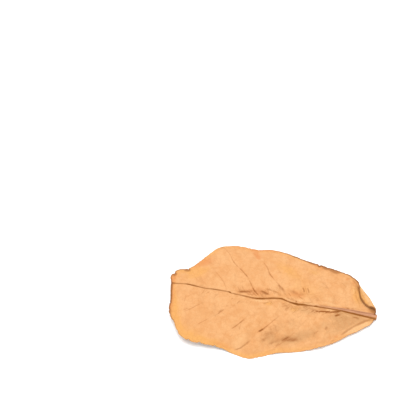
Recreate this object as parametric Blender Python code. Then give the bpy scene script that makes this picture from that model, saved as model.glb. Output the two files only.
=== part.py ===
"""One dried leaf of the Indian almond tree, lying on a table with its upper face up.

The leaf grew as one piece, so it is one solid: a thin blade, the midrib that carries it and stands out
below it as a keel, the side veins with their low ridges below, and the short stalk, cut off where the
blade begins. Near the stalk the far margin is folded over onto the upper face, and the near margin is
turned up.

The shape is a surface on a grid, the blade's lower face, to which the thickness and the ribs are added.
A row of the grid leaves the midrib at a start and follows the way the side veins run to the margin, and
the columns run from the tip to the stalk. In plan, x runs along the midrib from the tip to the stalk,
y to the far margin, and z is the height above the table.
"""

import bpy
import numpy as np

MM = 0.001

# The leaf lies on three low places: under the stalk and under each margin. Its other sizes follow.
BLADE_END = 199 * MM
STALK_END = 200 * MM
BLADE_THICKNESS = 0.7 * MM

# The midrib, from the tip: where it is along the leaf, and there its sideways bend, the height of the
# blade beside it, its width, how deep its keel is and how high it stands above the blade.
MIDRIB_AT = MM * np.array([0, 15, 45, 62, 79, 92, 108, 122, 145, 172, 190, 200])
MIDRIB_BEND = MM * np.array([0, 1.5, 0.4, -0.2, -2.2, -1.6, 1.4, -0.4, 0, 0.4, 0.5, 0.3])
MIDRIB_HEIGHT = MM * np.array([6.2, 6.0, 5.8, 5.6, 4.8, 5.4, 6.6, 6.0, 5.2, 3.6, 2.2, 2.0])
MIDRIB_WIDTH = MM * np.array([1.0, 1.1, 1.3, 1.5, 1.7, 1.9, 2.2, 2.5, 3.1, 4.0, 4.6, 4.8])
KEEL_DEPTH = MM * np.array([0.25, 0.4, 0.7, 0.9, 1.1, 1.3, 1.5, 1.7, 2.0, 2.3, 2.5, 2.5])
MIDRIB_RISE = MM * np.array([-0.1, -0.15, -0.2, -0.2, -0.2, -0.15, 0.0, 0.2, 0.5, 0.8, 1.0, 1.0])
MIDRIB_CELLS = 4

# The line in plan from which each margin curls, from the tip to the stalk.
FAR_FOLD = MM * np.array(
    [
        (0, 0.5),
        (-0.6, 7),
        (2.6, 12),
        (14.4, 16.6),
        (30, 36.5),
        (43, 53),
        (56, 57.5),
        (76, 56.5),
        (98, 57.5),
        (126, 51),
        (166.5, 42.4),
        (175.2, 39.8),
        (181.2, 30.9),
        (188.3, 22.8),
        (194.1, 14.5),
        (198, 8.4),
        (199, 2.6),
    ]
)
NEAR_FOLD = MM * np.array(
    [
        (0, -0.5),
        (7.2, -18.5),
        (9, -31.5),
        (15.8, -41.3),
        (23, -52.3),
        (30.3, -55.4),
        (44.2, -55.9),
        (62.5, -56.3),
        (76.4, -59.3),
        (85.4, -60.8),
        (95.2, -57),
        (104.1, -52.2),
        (113.4, -48.2),
        (126.8, -43.9),
        (147.2, -35.7),
        (168.9, -22.1),
        (187.4, -10.5),
        (199, -2.2),
    ]
)

# The side veins: where each starts on the midrib, and the share of the fold line, from the tip, at which
# it meets that. The bow is how far its middle stands aside towards the stalk, as a share of its length.
FAR_VEINS = (
    (19, 0.07),
    (37, 0.135),
    (55.5, 0.204),
    (89, 0.289),
    (115.5, 0.41),
    (139.5, 0.55),
    (162, 0.68),
    (181, 0.80),
)
NEAR_VEINS = (
    (17, 0.05),
    (34, 0.095),
    (51, 0.155),
    (70, 0.236),
    (98, 0.344),
    (119, 0.437),
    (143, 0.587),
    (168, 0.757),
)
FAR_BOW = 0.006
NEAR_BOW = 0.036
VEIN_FOOT = 1.35 * MM
VEIN_RIDGE = 0.6 * MM
VEIN_GROOVE = 0.12 * MM

# The height of each fold line, at shares of its length from the tip.
EDGE_AT = np.array([0, 0.08, 0.15, 0.22, 0.3, 0.37, 0.43, 0.48, 0.54, 0.6, 0.68, 0.76, 0.84, 0.92, 1])
FAR_EDGE_HEIGHT = MM * np.array([6.2, 5.8, 4.2, 3.4, 1.4, -0.4, 0.5, 2.2, 2.2, 3.3, 2.7, 3.6, 3.2, 2.8, 2.4])
NEAR_EDGE_HEIGHT = MM * np.array(
    [6.2, 7.2, 6.8, 7.6, 6.8, 5.0, 1.8, -0.4, -0.3, 1.0, 0.9, 2.0, 1.4, 1.8, 2.2]
)

# The curl of each margin, at shares of its fold line: the width of the strip that curls, how far its edge
# is turned up, and the share of the width over which it bends.
FAR_CURL_AT = np.array(
    [0, 0.04, 0.2, 0.37, 0.5, 0.65, 0.79, 0.83, 0.86, 0.88, 0.91, 0.93, 0.95, 0.96, 0.975, 1]
)
FAR_CURL_WIDTH = MM * np.array([0, 2.5, 4, 4, 4, 4, 3, 2.6, 6, 9.2, 12.8, 13.4, 12.6, 11, 5.4, 0])
FAR_CURL_ANGLE = np.radians([0, 8, 10, 0, 12, -12, 12, 50, 140, 172, 184, 181, 176, 174, 150, 60])
FAR_CURL_BEND = np.array([1, 1, 1, 1, 1, 1, 1, 1, 0.75, 0.55, 0.4, 0.38, 0.39, 0.43, 0.75, 1])
NEAR_CURL_AT = np.array([0, 0.04, 0.2, 0.37, 0.5, 0.65, 0.77, 0.85, 0.885, 0.91, 0.94, 0.97, 1])
NEAR_CURL_WIDTH = MM * np.array([0, 2.5, 4, 4, 4, 6, 6.9, 6.2, 5.2, 5.1, 3.8, 3.3, 0])
NEAR_CURL_ANGLE = np.radians([0, 0, -14, -12, 0, 14, 26, 31, 33, 33, 31, 28, 20])
NEAR_CURL_BEND = np.ones(13)

# Columns of each half: shares of the way from the midrib to the fold line, then shares of the curl.
BLADE_COLUMNS = np.linspace(0, 1, 9)[1:]
FAR_CURL_COLUMNS = np.array([0.08, 0.16, 0.24, 0.32, 0.42, 0.55, 0.75, 1.0])
NEAR_CURL_COLUMNS = np.array([0.3, 0.65, 1.0])
ROW_GAP = 5 * MM
FOLD_GAP = 6.4 * MM
FLAP_GAP = 3.2 * MM
FLAP_FROM = 181 * MM

# How the blade rises between midrib and margin, from the tip to the stalk, and between its side veins.
ARCH_AT = MM * np.array([0, 40, 80, 120, 160, 199])
FAR_ARCH = MM * np.array([0.4, 1.8, 2.4, 2.6, 1.8, 0.4])
NEAR_ARCH = MM * np.array([0.4, 1.6, 2.6, 1.6, -0.6, 0])
PUCKER = 0.55 * MM
FULL_WAY = 40 * MM

# Long waves of the blade: wavelength, direction from x, phase in turns, height.
WAVES = (
    (58 * MM, 25, 0.10, 0.55 * MM),
    (41 * MM, 100, 0.45, 0.45 * MM),
    (31 * MM, -50, 0.70, 0.30 * MM),
)
# Dents of the blade: centre x and y, length, width, direction from x, depth.
DENTS = (
    (76 * MM, 5 * MM, 14 * MM, 3.5 * MM, -4, 0.9 * MM),
    (124 * MM, 13 * MM, 12 * MM, 5 * MM, -25, 1.1 * MM),
    (132 * MM, -30 * MM, 16 * MM, 6 * MM, 20, 1.2 * MM),
    (165 * MM, -17 * MM, 20 * MM, 5 * MM, 35, 1.0 * MM),
)

LEAF_COLOUR = (0.6, 0.31, 0.12, 1.0)
LEAF_ROUGHNESS = 0.62


def clear_scene():
    for thing in list(bpy.data.objects):
        bpy.data.objects.remove(thing)


def through(at, values, wanted):
    """A smooth curve through the values: cubic pieces, with the slope at each from its neighbours."""
    at, values = np.asarray(at, float), np.asarray(values, float)
    slopes = np.gradient(values, at, axis=0)
    piece = np.clip(np.searchsorted(at, wanted, side="right") - 1, 0, len(at) - 2)
    length = at[piece + 1] - at[piece]
    share = np.clip((wanted - at[piece]) / length, 0, 1)
    if values.ndim == 2:
        length, share = length[:, None], share[:, None]
    rest = 1 - share
    return (
        values[piece] * (1 + 2 * share) * rest**2
        + slopes[piece] * length * share * rest**2
        + values[piece + 1] * (3 - 2 * share) * share**2
        - slopes[piece + 1] * length * share**2 * rest
    )


def midrib(table, x):
    return through(MIDRIB_AT, table, x)


def fold_line(table, shares):
    """Points of a fold line at shares of its length, and the outward direction there."""
    steps = np.linalg.norm(np.diff(table, axis=0), axis=1)
    at = np.concatenate([[0], np.cumsum(steps)])
    fine = through(at, table, np.linspace(0, at[-1], 2000))
    lengths = np.concatenate([[0], np.cumsum(np.linalg.norm(np.diff(fine, axis=0), axis=1))])
    lengths /= lengths[-1]
    along = np.gradient(fine, axis=0)
    side = np.sign(table[:, 1].sum())
    outward = side * np.stack([-along[:, 1], along[:, 0]], axis=1)
    outward /= np.linalg.norm(outward, axis=1)[:, None]
    points = np.stack([np.interp(shares, lengths, fine[:, axis]) for axis in (0, 1)], axis=1)
    normals = np.stack([np.interp(shares, lengths, outward[:, axis]) for axis in (0, 1)], axis=1)
    return points, normals / np.linalg.norm(normals, axis=1)[:, None]


def fold_shares(rows, veins):
    """Where the rows meet the fold line, and the starts of the veins with both ends of the blade."""
    starts, ends = np.array(veins).T
    starts = np.concatenate([[0], starts * MM, [BLADE_END]])
    return np.interp(rows, starts, np.concatenate([[0], ends, [1]])), starts


def row_starts():
    """Where the rows leave the midrib: at the crest and feet of each vein and at the blade's ends, with as
    many between them as keeps the rows close at the midrib and at both fold lines, closest at the flap."""
    starts = {0.0, BLADE_END}
    for vein in FAR_VEINS + NEAR_VEINS:
        starts.update(vein[0] * MM + foot for foot in (-VEIN_FOOT, 0, VEIN_FOOT))
    starts = np.array(sorted(starts))
    needed = np.diff(starts) / ROW_GAP
    gap = np.where(starts[1:] > FLAP_FROM, FLAP_GAP, FOLD_GAP)
    for table, veins in ((FAR_FOLD, FAR_VEINS), (NEAR_FOLD, NEAR_VEINS)):
        ends, _ = fold_line(table, fold_shares(starts, veins)[0])
        needed = np.maximum(needed, np.linalg.norm(np.diff(ends, axis=0), axis=1) / gap)
        gap = FOLD_GAP
    rows = [starts[:1]]
    for start, end, cells in zip(starts, starts[1:], np.ceil(needed).astype(int)):
        rows.append(np.linspace(start, end, cells + 1)[1:])
    return np.concatenate(rows)


def rolled(width, angle, bend, columns):
    """How far out and up a curled strip reaches: its slope turns from flat to the angle over the bend."""
    share = np.linspace(0, 1, 101)
    turned = np.clip(share / bend[:, None], 0, 1)
    slope = angle[:, None] * turned**2 * (3 - 2 * turned)
    step = width[:, None] * np.diff(share)
    middle = (slope[:, 1:] + slope[:, :-1]) / 2
    out = np.cumsum(np.cos(middle) * step, axis=1)
    up = np.cumsum(np.sin(middle) * step, axis=1)
    picked = np.round(columns * 100).astype(int) - 1
    return out[:, picked], up[:, picked]


def waves(x, y):
    """The blade's long waves and dents at plan positions."""
    height = np.zeros_like(x)
    for length, direction, phase, rise in WAVES:
        turn = np.radians(direction)
        height += rise * np.sin(2 * np.pi * ((x * np.cos(turn) + y * np.sin(turn)) / length + phase))
    for centre_x, centre_y, length, width, direction, depth in DENTS:
        turn = np.radians(direction)
        along = (x - centre_x) * np.cos(turn) + (y - centre_y) * np.sin(turn)
        across = (y - centre_y) * np.cos(turn) - (x - centre_x) * np.sin(turn)
        height -= depth * np.exp(-((along / length) ** 2) - (across / width) ** 2)
    return height


def half_blade(rows, side, table, veins, bow, edge_heights, arch, curl_at, curl, curl_columns):
    """One half of the blade's lower face, as (rows, columns, 3) points from the midrib outwards, and the
    height of the vein ridges on it. A row is the straight way to the fold line, bowed towards the stalk.
    Its height goes from the midrib's to the fold line's, with an arch of half a sine, the bulge between
    two side veins, and the long waves. The curled strip goes on from the slope at the fold line."""
    shares, starts = fold_shares(rows, veins)
    fold, outward = fold_line(table, shares)
    width, angle, bend = (through(curl_at, values, shares) for values in curl)
    width = np.clip(width, 0, None)
    root = np.stack([rows, midrib(MIDRIB_BEND, rows) + side * midrib(MIDRIB_WIDTH, rows) / 2], axis=1)

    t = BLADE_COLUMNS[None, :]
    way = fold - root
    aside = side * np.stack([way[:, 1], -way[:, 0]], axis=1)
    plan = root[:, None] + way[:, None] * t[..., None]
    plan = plan + bow * (4 * t * (1 - t))[..., None] * aside[:, None]
    from_height = midrib(MIDRIB_HEIGHT, rows)[:, None]
    to_height = through(EDGE_AT, edge_heights, shares)[:, None]
    height = from_height + (to_height - from_height) * t
    fullness = np.clip(np.linalg.norm(way, axis=1) / FULL_WAY, 0, 1)[:, None]
    height = height + through(ARCH_AT, arch, rows)[:, None] * np.sin(np.pi * t) * fullness
    gap = np.clip(np.searchsorted(starts, rows, side="right") - 1, 0, len(starts) - 2)
    between = (rows - starts[gap]) / (starts[gap + 1] - starts[gap])
    bulge = PUCKER * np.sin(np.pi * between)[:, None] * np.sin(np.pi * t) ** 0.7
    wave, first = waves(plan[..., 0], plan[..., 1]), waves(root[:, :1], root[:, 1:])
    wave = wave - first * (1 - t) - wave[:, -1:] * t
    height = height + bulge * fullness + wave

    slope = fold_slope(plan, height, outward)
    out, up = rolled(width, angle, bend, curl_columns)
    lean = np.arctan(slope)[:, None]
    reach = out * np.cos(lean) - up * np.sin(lean)
    rise = out * np.sin(lean) + up * np.cos(lean)
    strip = fold[:, None] + outward[:, None] * reach[..., None]
    plan = np.concatenate([plan, strip], axis=1)
    height = np.concatenate([height, height[:, -1:] + rise], axis=1)

    crest = np.clip(1 - np.abs(rows[:, None] - starts[1:-1]) / VEIN_FOOT, 0, None).max(axis=1)
    fade = np.concatenate([1 - 0.7 * BLADE_COLUMNS, 0.3 * (1 - curl_columns)])
    return np.dstack([plan, height]), crest[:, None] * fade[None, :]


def fold_slope(plan, height, outward):
    """The blade's slope outwards at its fold line, from the last column and the neighbouring rows."""
    across, rise = plan[:, -1] - plan[:, -2], height[:, -1] - height[:, -2]
    along, climb = np.gradient(plan[:, -1], axis=0), np.gradient(height[:, -1])
    area = across[:, 0] * along[:, 1] - across[:, 1] * along[:, 0]
    area = np.where(np.abs(area) < 1e-12, 1e-12, area)
    slope_x = (rise * along[:, 1] - climb * across[:, 1]) / area
    slope_y = (climb * across[:, 0] - rise * along[:, 0]) / area
    return np.clip(slope_x * outward[:, 0] + slope_y * outward[:, 1], -0.5, 0.5)


def lower_face():
    """The grid of the whole lower face from the near margin to the far one, with the thickness of the
    ribs below and above it, and the index of each grid point. The end rows of both halves draw together
    to the midrib's sides, so the blade closes there."""
    rows = row_starts()
    far, far_ridge = half_blade(
        rows,
        1,
        FAR_FOLD,
        FAR_VEINS,
        FAR_BOW,
        FAR_EDGE_HEIGHT,
        FAR_ARCH,
        FAR_CURL_AT,
        (FAR_CURL_WIDTH, FAR_CURL_ANGLE, FAR_CURL_BEND),
        FAR_CURL_COLUMNS,
    )
    near, near_ridge = half_blade(
        rows,
        -1,
        NEAR_FOLD,
        NEAR_VEINS,
        NEAR_BOW,
        NEAR_EDGE_HEIGHT,
        NEAR_ARCH,
        NEAR_CURL_AT,
        (NEAR_CURL_WIDTH, NEAR_CURL_ANGLE, NEAR_CURL_BEND),
        NEAR_CURL_COLUMNS,
    )
    places = rows.copy()
    places[-1] = STALK_END
    across = np.linspace(-1, 1, MIDRIB_CELLS + 1)
    rib_y = midrib(MIDRIB_BEND, places)[:, None] + across * midrib(MIDRIB_WIDTH, places)[:, None] / 2
    rib_x = np.repeat(places[:, None], len(across), axis=1)
    rib_z = np.repeat(midrib(MIDRIB_HEIGHT, places)[:, None], len(across), axis=1)
    rib = np.dstack([rib_x, rib_y, rib_z])
    keel = midrib(KEEL_DEPTH, places)[:, None] * np.sqrt(1 - across**2)
    rise = midrib(MIDRIB_RISE, places)[:, None] * (1 - across**2)

    grid = np.concatenate([near[:, ::-1], rib, far], axis=1)
    below = np.concatenate([VEIN_RIDGE * near_ridge[:, ::-1], keel, VEIN_RIDGE * far_ridge], axis=1)
    above = np.concatenate([-VEIN_GROOVE * near_ridge[:, ::-1], rise, -VEIN_GROOVE * far_ridge], axis=1)
    index = np.arange(grid.shape[0] * grid.shape[1]).reshape(grid.shape[:2])
    first, last = near.shape[1], near.shape[1] + MIDRIB_CELLS
    for end in (0, -1):
        index[end, :first] = index[end, first]
        index[end, last + 1 :] = index[end, last]
    grid[..., 2] = np.maximum(grid[..., 2], 0)
    return grid, below, above, index


def triangles_of(grid, index):
    """Each cell of the grid split along its shorter diagonal, without the triangles that the drawn-together
    ends leave flat."""
    a, b = index[:-1, :-1].ravel(), index[1:, :-1].ravel()
    c, d = index[1:, 1:].ravel(), index[:-1, 1:].ravel()
    points = grid.reshape(-1, 3)
    a_to_c = np.linalg.norm(points[c] - points[a], axis=1) < np.linalg.norm(points[d] - points[b], axis=1)
    first = np.where(a_to_c[:, None], np.stack([a, b, c], axis=1), np.stack([a, b, d], axis=1))
    second = np.where(a_to_c[:, None], np.stack([a, c, d], axis=1), np.stack([b, c, d], axis=1))
    faces = np.concatenate([first, second])
    whole = (faces[:, 0] != faces[:, 1]) & (faces[:, 1] != faces[:, 2]) & (faces[:, 0] != faces[:, 2])
    return faces[whole]


def point_normals(points, faces):
    """The direction in which the surface faces at each point, over the triangles that meet there."""
    corners = points[faces]
    facing = np.cross(corners[:, 1] - corners[:, 0], corners[:, 2] - corners[:, 0])
    normals = np.zeros_like(points)
    for corner in range(3):
        np.add.at(normals, faces[:, corner], facing)
    length = np.linalg.norm(normals, axis=1)
    return normals / np.where(length > 0, length, 1)[:, None]


def open_edges(faces):
    """The edges that only one triangle has, in the direction in which it runs round that triangle."""
    edges = np.concatenate([faces[:, [0, 1]], faces[:, [1, 2]], faces[:, [2, 0]]])
    size = faces.max() + 1
    back = edges[:, 1] * size + edges[:, 0]
    return edges[~np.isin(edges[:, 0] * size + edges[:, 1], back)]


def leaf_solid():
    """Points and triangles of the closed leaf: the upper face, the lower face split alike, and the edge."""
    grid, below, above, index = lower_face()
    faces = triangles_of(grid, index)
    used, faces = np.unique(faces, return_inverse=True)
    faces = faces.reshape(-1, 3)
    points = grid.reshape(-1, 3)[used]
    normals = point_normals(points, faces)
    lower = points - normals * below.ravel()[used][:, None]
    lower[:, 2] = np.maximum(lower[:, 2], 0)
    upper = points + normals * (BLADE_THICKNESS + above.ravel()[used])[:, None]
    start, end = open_edges(faces).T
    count = len(points)
    edge = np.concatenate(
        [
            np.stack([end, start, start + count], axis=1),
            np.stack([end, start + count, end + count], axis=1),
        ]
    )
    return np.concatenate([upper, lower]), np.concatenate([faces, faces[:, ::-1] + count, edge])


def leaf_material():
    material = bpy.data.materials.new("dry_leaf")
    material.use_nodes = True
    surface = material.node_tree.nodes["Principled BSDF"]
    surface.inputs["Base Color"].default_value = LEAF_COLOUR
    surface.inputs["Roughness"].default_value = LEAF_ROUGHNESS
    surface.inputs["Metallic"].default_value = 0.0
    return material


def make_leaf():
    """The leaf, with the middle of its box over the origin and its low places on the table."""
    points, faces = leaf_solid()
    middle = (points.min(axis=0) + points.max(axis=0)) / 2
    points[:, :2] -= middle[:2]
    mesh = bpy.data.meshes.new("leaf")
    mesh.from_pydata(points.tolist(), [], faces.tolist())
    mesh.materials.append(leaf_material())
    mesh.shade_smooth()
    mesh.set_sharp_from_angle(angle=np.radians(40))
    leaf = bpy.data.objects.new("leaf", mesh)
    bpy.context.scene.collection.objects.link(leaf)
    return leaf


def main():
    clear_scene()
    make_leaf()


if __name__ == "__main__":
    main()
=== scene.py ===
"""The looks of one dried leaf of the Indian almond tree, laid out as an add-on and run as a script.

The leaf is one surface on a grid, as in the part's own model. A row of the grid leaves the midrib and
follows the way of the side veins to the margin, and the columns run from the tip to the stalk. Here the
grid is finer, the blade has its real thickness, and the surface has its small relief: the lines of the
veins, the creases and wrinkles, and the torn places of the margin. In plan, x runs along the midrib from
the tip to the stalk, y to the far margin, and z is the height above the floor.
"""

import bpy
import numpy as np
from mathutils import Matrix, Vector


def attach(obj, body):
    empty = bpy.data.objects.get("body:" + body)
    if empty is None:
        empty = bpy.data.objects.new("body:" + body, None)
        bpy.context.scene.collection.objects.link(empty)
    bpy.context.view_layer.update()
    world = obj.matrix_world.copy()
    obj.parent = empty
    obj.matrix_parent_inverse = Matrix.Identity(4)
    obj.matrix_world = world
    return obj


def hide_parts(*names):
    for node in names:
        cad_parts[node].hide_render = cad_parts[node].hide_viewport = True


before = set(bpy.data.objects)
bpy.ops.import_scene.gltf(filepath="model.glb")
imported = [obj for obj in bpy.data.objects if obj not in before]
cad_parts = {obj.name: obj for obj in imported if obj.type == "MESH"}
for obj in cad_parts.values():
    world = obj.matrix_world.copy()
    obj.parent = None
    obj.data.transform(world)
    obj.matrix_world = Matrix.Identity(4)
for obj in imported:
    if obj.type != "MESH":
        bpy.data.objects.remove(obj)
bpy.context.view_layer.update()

bl_info = {
    "name": "Dried Almond Leaf",
    "version": (1, 0, 0),
    "blender": (4, 5, 0),
    "location": "3D View > Sidebar > Leaf",
    "description": "Makes a dried, waved leaf with its ribs, veins and folded margin, and the stage under it",
    "category": "Add Mesh",
}

MM = 0.001

# The form of the blade, close to the part's own model. Here the stalk is cut a little further out and on a
# slant, so that its far side reaches out and its near side falls short, the midrib stands a little higher
# near the stalk, and the flap lies flatter.
BLADE_END = 199 * MM
STALK_END = 200.6 * MM
STALK_SLANT = 0.5 * MM
# The middle of the leaf's box in plan, which lies over the part's origin.
LEAF_MIDDLE = MM * np.array([98.95, -1.358])

# The midrib, from the tip: where it is along the leaf, and there its sideways bend, the height of the
# blade beside it, its width, how deep its keel is and how high it stands above the blade.
MIDRIB_AT = MM * np.array([0, 15, 45, 62, 79, 92, 108, 122, 145, 172, 190, 200])
MIDRIB_BEND = MM * np.array([0, 1.5, 0.4, -0.2, -2.2, -1.6, 1.4, -0.4, 0, 0.4, 0.5, 0.3])
MIDRIB_HEIGHT = MM * np.array([6.2, 6.0, 5.8, 5.6, 4.8, 5.4, 6.6, 6.0, 5.2, 3.6, 2.2, 2.0])
MIDRIB_WIDTH = MM * np.array([1.0, 1.1, 1.3, 1.5, 1.7, 1.9, 2.2, 2.5, 3.1, 4.0, 4.6, 4.8])
KEEL_DEPTH = MM * np.array([0.25, 0.4, 0.7, 0.9, 1.1, 1.3, 1.5, 1.7, 2.0, 2.3, 2.5, 2.5])
MIDRIB_RISE = MM * np.array([-0.1, -0.15, -0.2, -0.2, -0.2, -0.15, 0.0, 0.3, 0.7, 1.0, 1.2, 1.2])

# The height of each fold line is given at these shares of its length from the tip.
EDGE_AT = np.array([0, 0.08, 0.15, 0.22, 0.3, 0.37, 0.43, 0.48, 0.54, 0.6, 0.68, 0.76, 0.84, 0.92, 1])
# How the blade rises between midrib and margin is given at these places along the midrib.
ARCH_AT = MM * np.array([0, 40, 80, 120, 160, 199])
# Between two side veins the blade bulges by this much where it is wide, as a sine to this power.
PUCKER = 0.55 * MM
PUCKER_POWER = 0.7
FULL_WAY = 40 * MM

# Each half of the blade, by name:
# - side: 1 for the far half and -1 for the near one;
# - fold: the line in plan from which the margin curls, and edge: its height;
# - veins: where each side vein starts on the midrib, the share of the fold line at which it meets that,
#   and how plainly it shows on the upper face at shares of its way from the midrib to the fold line;
# - bow: how far the middle of a vein stands aside towards the stalk, as a share of its length, and
#   wander: how far its line on the upper face strays to both sides of that;
# - arch: the rise between midrib and margin;
# - curl_at: shares of the fold line, and there the width of the strip that curls, how far its edge is
#   turned up, and the share of the width over which it bends;
# - curl_columns: the grid's columns on that strip, as shares of its width;
# - notches: shares of the fold line where the margin is torn, how deep and how wide, in millimetres;
# - gold and brown: how golden the margin is and how brown its very edge, at even shares of the fold line;
#   along the far margin the brown edge is partly painted shadow.
FAR_HALF = {
    "side": 1,
    "fold": MM * np.array([
        (0, 0.5), (-0.6, 7), (2.6, 12), (14.4, 16.6), (30, 36.5), (43, 53), (56, 57.5), (76, 56.5),
        (98, 57.5), (126, 51), (166.5, 42.4), (175.2, 39.8), (181.2, 30.9), (188.3, 22.8), (194.1, 14.5),
        (198, 8.4), (199, 2.6),
    ]),
    "veins": (
        (19, 0.07, ((0, 0.1), (0.5, 0.1), (1, 0))),
        (37, 0.135, ((0, 0.15), (0.4, 0.12), (1, 0))),
        (55.5, 0.204, ((0, 0.2), (0.15, 0.3), (0.3, 0.4), (0.5, 0.35), (0.6, 0.12), (1, 0.05))),
        (89, 0.289, (
            (0.04, 0.1), (0.07, 1), (0.17, 1.1), (0.195, 0.4), (0.23, 0.65), (0.3, 0.65), (0.34, 0.2),
            (0.37, 0.2), (0.4, 0.9), (0.44, 0.8), (0.48, 0.5), (0.54, 0.9), (0.57, 0.2), (0.61, 0.5),
            (0.75, 0.5), (0.83, 0.25), (0.9, 0.45), (1, 0.1),
        )),
        (115.5, 0.41, (
            (0.12, 0), (0.16, 0.4), (0.34, 0.35), (0.38, 0.1), (0.41, 0.65), (0.46, 0.8), (0.54, 0.55),
            (0.56, 0.2), (0.6, 0.5), (0.72, 0.45), (0.78, 0.1), (1, 0.1),
        )),
        (139.5, 0.55, ((0, 0.15), (0.3, 0.18), (0.6, 0.1), (1, 0.05))),
        (162, 0.68, ((0, 0.1), (0.5, 0.1), (1, 0))),
        (181, 0.80, ((0, 0.08), (0.5, 0.08), (1, 0))),
    ),
    "bow": 0.006,
    "wander": 1.1 * MM,
    "edge": MM * np.array([6.2, 5.8, 4.2, 3.4, 1.4, -0.4, 0.5, 2.2, 2.2, 3.3, 2.7, 3.6, 3.2, 2.8, 2.4]),
    "arch": MM * np.array([0.4, 1.8, 2.4, 2.6, 1.8, 0.4]),
    "curl_at": np.array(
        [0, 0.04, 0.2, 0.37, 0.5, 0.65, 0.79, 0.83, 0.86, 0.88, 0.91, 0.93, 0.95, 0.96, 0.975, 1]
    ),
    "curl_width": MM * np.array([0, 2.5, 4, 4, 4, 4, 3, 2.6, 6, 9.2, 12.2, 11.6, 10.2, 8.7, 5.0, 0]),
    "curl_angle": np.radians([0, 8, 10, 0, 12, -12, 12, 50, 140, 175, 189, 187, 183, 179, 153, 60]),
    "curl_bend": np.array([1, 1, 1, 1, 1, 1, 1, 1, 0.75, 0.55, 0.4, 0.38, 0.39, 0.43, 0.75, 1]),
    "curl_columns": np.linspace(0, 1, 21)[1:],
    "notches": ((0.045, 1.6, 1.2), (0.1035, 1.2, 1.0), (0.683, 1.7, 0.9), (0.716, 0.8, 1.4)),
    "gold": (0.5, 0.7, 0.6, 0.45, 0.5, 0.5, 0.5, 0.4, 0.35, 0.4, 0.4),
    "brown": (1.6, 0.9, 0.4, 0.4, 0.5, 0.8, 1.9, 2.2, 1.5, 1.7, 1.9),
}
NEAR_HALF = {
    "side": -1,
    "fold": MM * np.array([
        (0, -0.5), (7.2, -18.5), (9, -31.5), (15.8, -41.3), (23, -52.3), (30.3, -55.4), (44.2, -55.9),
        (62.5, -56.3), (76.4, -59.3), (85.4, -60.8), (95.2, -57), (104.1, -52.2), (113.4, -48.2),
        (126.8, -43.9), (147.2, -35.7), (168.9, -22.1), (187.4, -10.5), (199, -2.2),
    ]),
    "veins": (
        (17, 0.05, ((0, 0.05), (0.5, 0.1), (1, 0))),
        (34, 0.095, ((0, 0.05), (0.5, 0.12), (1, 0))),
        (51, 0.155, ((0, 0.05), (0.45, 0.12), (0.56, 0.4), (0.76, 0.4), (0.84, 0.05))),
        (70, 0.236, (
            (0.2, 0), (0.32, 0.05), (0.35, 0.5), (0.43, 0.7), (0.47, 0.05), (0.61, 0.12), (0.65, 0.4),
            (0.75, 0.4), (0.8, 0.05),
        )),
        (98, 0.344, (
            (0.46, 0), (0.5, 0.65), (0.55, 0.85), (0.58, 0.5), (0.62, 0.65), (0.67, 0.7), (0.7, 0.05),
        )),
        (119, 0.437, (
            (0, 0.2), (0.1, 0), (0.3, 0.1), (0.34, 0.5), (0.46, 0.4), (0.5, 0.75), (0.54, 0.6), (0.57, 0.95),
            (0.62, 1), (0.65, 0.05),
        )),
        (143, 0.587, ((0, 0.05), (0.2, 0.1), (0.35, 0.2), (0.5, 0.1), (0.75, 0.35), (0.92, 0.45), (1, 0.1))),
        (168, 0.757, ((0, 0.05), (0.5, 0.08), (1, 0))),
    ),
    "bow": 0.036,
    "wander": 0.3 * MM,
    "edge": MM * np.array([6.2, 7.2, 6.8, 7.6, 6.8, 5.0, 1.8, -0.4, -0.3, 1.0, 0.9, 2.0, 1.4, 1.8, 2.2]),
    "arch": MM * np.array([0.4, 1.6, 2.6, 1.6, -0.6, 0]),
    "curl_at": np.array([0, 0.04, 0.2, 0.37, 0.5, 0.65, 0.77, 0.85, 0.885, 0.91, 0.94, 0.97, 1]),
    "curl_width": MM * np.array([0, 2.5, 4, 4, 4, 6, 6.9, 6.2, 5.2, 5.1, 3.8, 3.3, 0]),
    "curl_angle": np.radians([0, 0, -14, -12, 0, 14, 26, 31, 33, 33, 31, 28, 20]),
    "curl_bend": np.ones(13),
    "curl_columns": np.linspace(0, 1, 11)[1:],
    "notches": ((0.217, 0.8, 1.2), (0.263, 1.3, 1.0), (0.301, 1.1, 1.5), (0.358, 0.9, 1.1)),
    "gold": (0.5, 0.75, 0.8, 0.75, 0.8, 0.75, 0.65, 0.5, 0.45, 0.4, 0.3),
    "brown": (2.2, 1.7, 0.7, 0.5, 0.4, 0.25, 0.15, 0.15, 0.15, 0.15, 0.3),
}

# Long waves of the blade: wavelength, direction from x, phase in turns, height, with lengths in millimetres.
WAVES = ((58, 25, 0.10, 0.55), (41, 100, 0.45, 0.45), (31, -50, 0.70, 0.30))
# Dents of the blade: centre x and y, length, width, direction from x, depth. All lengths are in millimetres.
DENTS = (
    (76, 5, 14, 3.5, -4, 0.9), (124, 13, 12, 5, -25, 1.1), (132, -30, 16, 6, 20, 1.2),
    (165, -17, 20, 5, 35, 1.0),
)

# The grid. The blade's columns are shares of the way from the midrib to the fold line, closer together
# beside the midrib, and the rows keep to the largest gaps on the midrib and on the fold lines.
BLADE_COLUMNS = np.linspace(0, 1, 57)[1:] ** 1.15
RIB_ACROSS = np.linspace(-1, 1, 13)
VEIN_ROWS = MM * np.array([-1.35, -0.45, 0, 0.45, 1.35])
ROW_GAP = 0.95 * MM
FOLD_GAP = 1.15 * MM
CLOSEST_ROWS = 0.12 * MM
# Each piece of the outline is split in as many where the distance from the margin is measured.
RIM_PIECES = 3
# The slope at a fold line: from how many columns in, the steepest, and the rows over which it is smoothed.
SLOPE_COLUMNS = 5
SLOPE_LIMIT = 0.5
SLOPE_ROWS = 7
# At how many points a fold line is worked out, and in how many steps a curled strip's bend.
FOLD_POINTS = 2000
CURL_STEPS = 100
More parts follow.
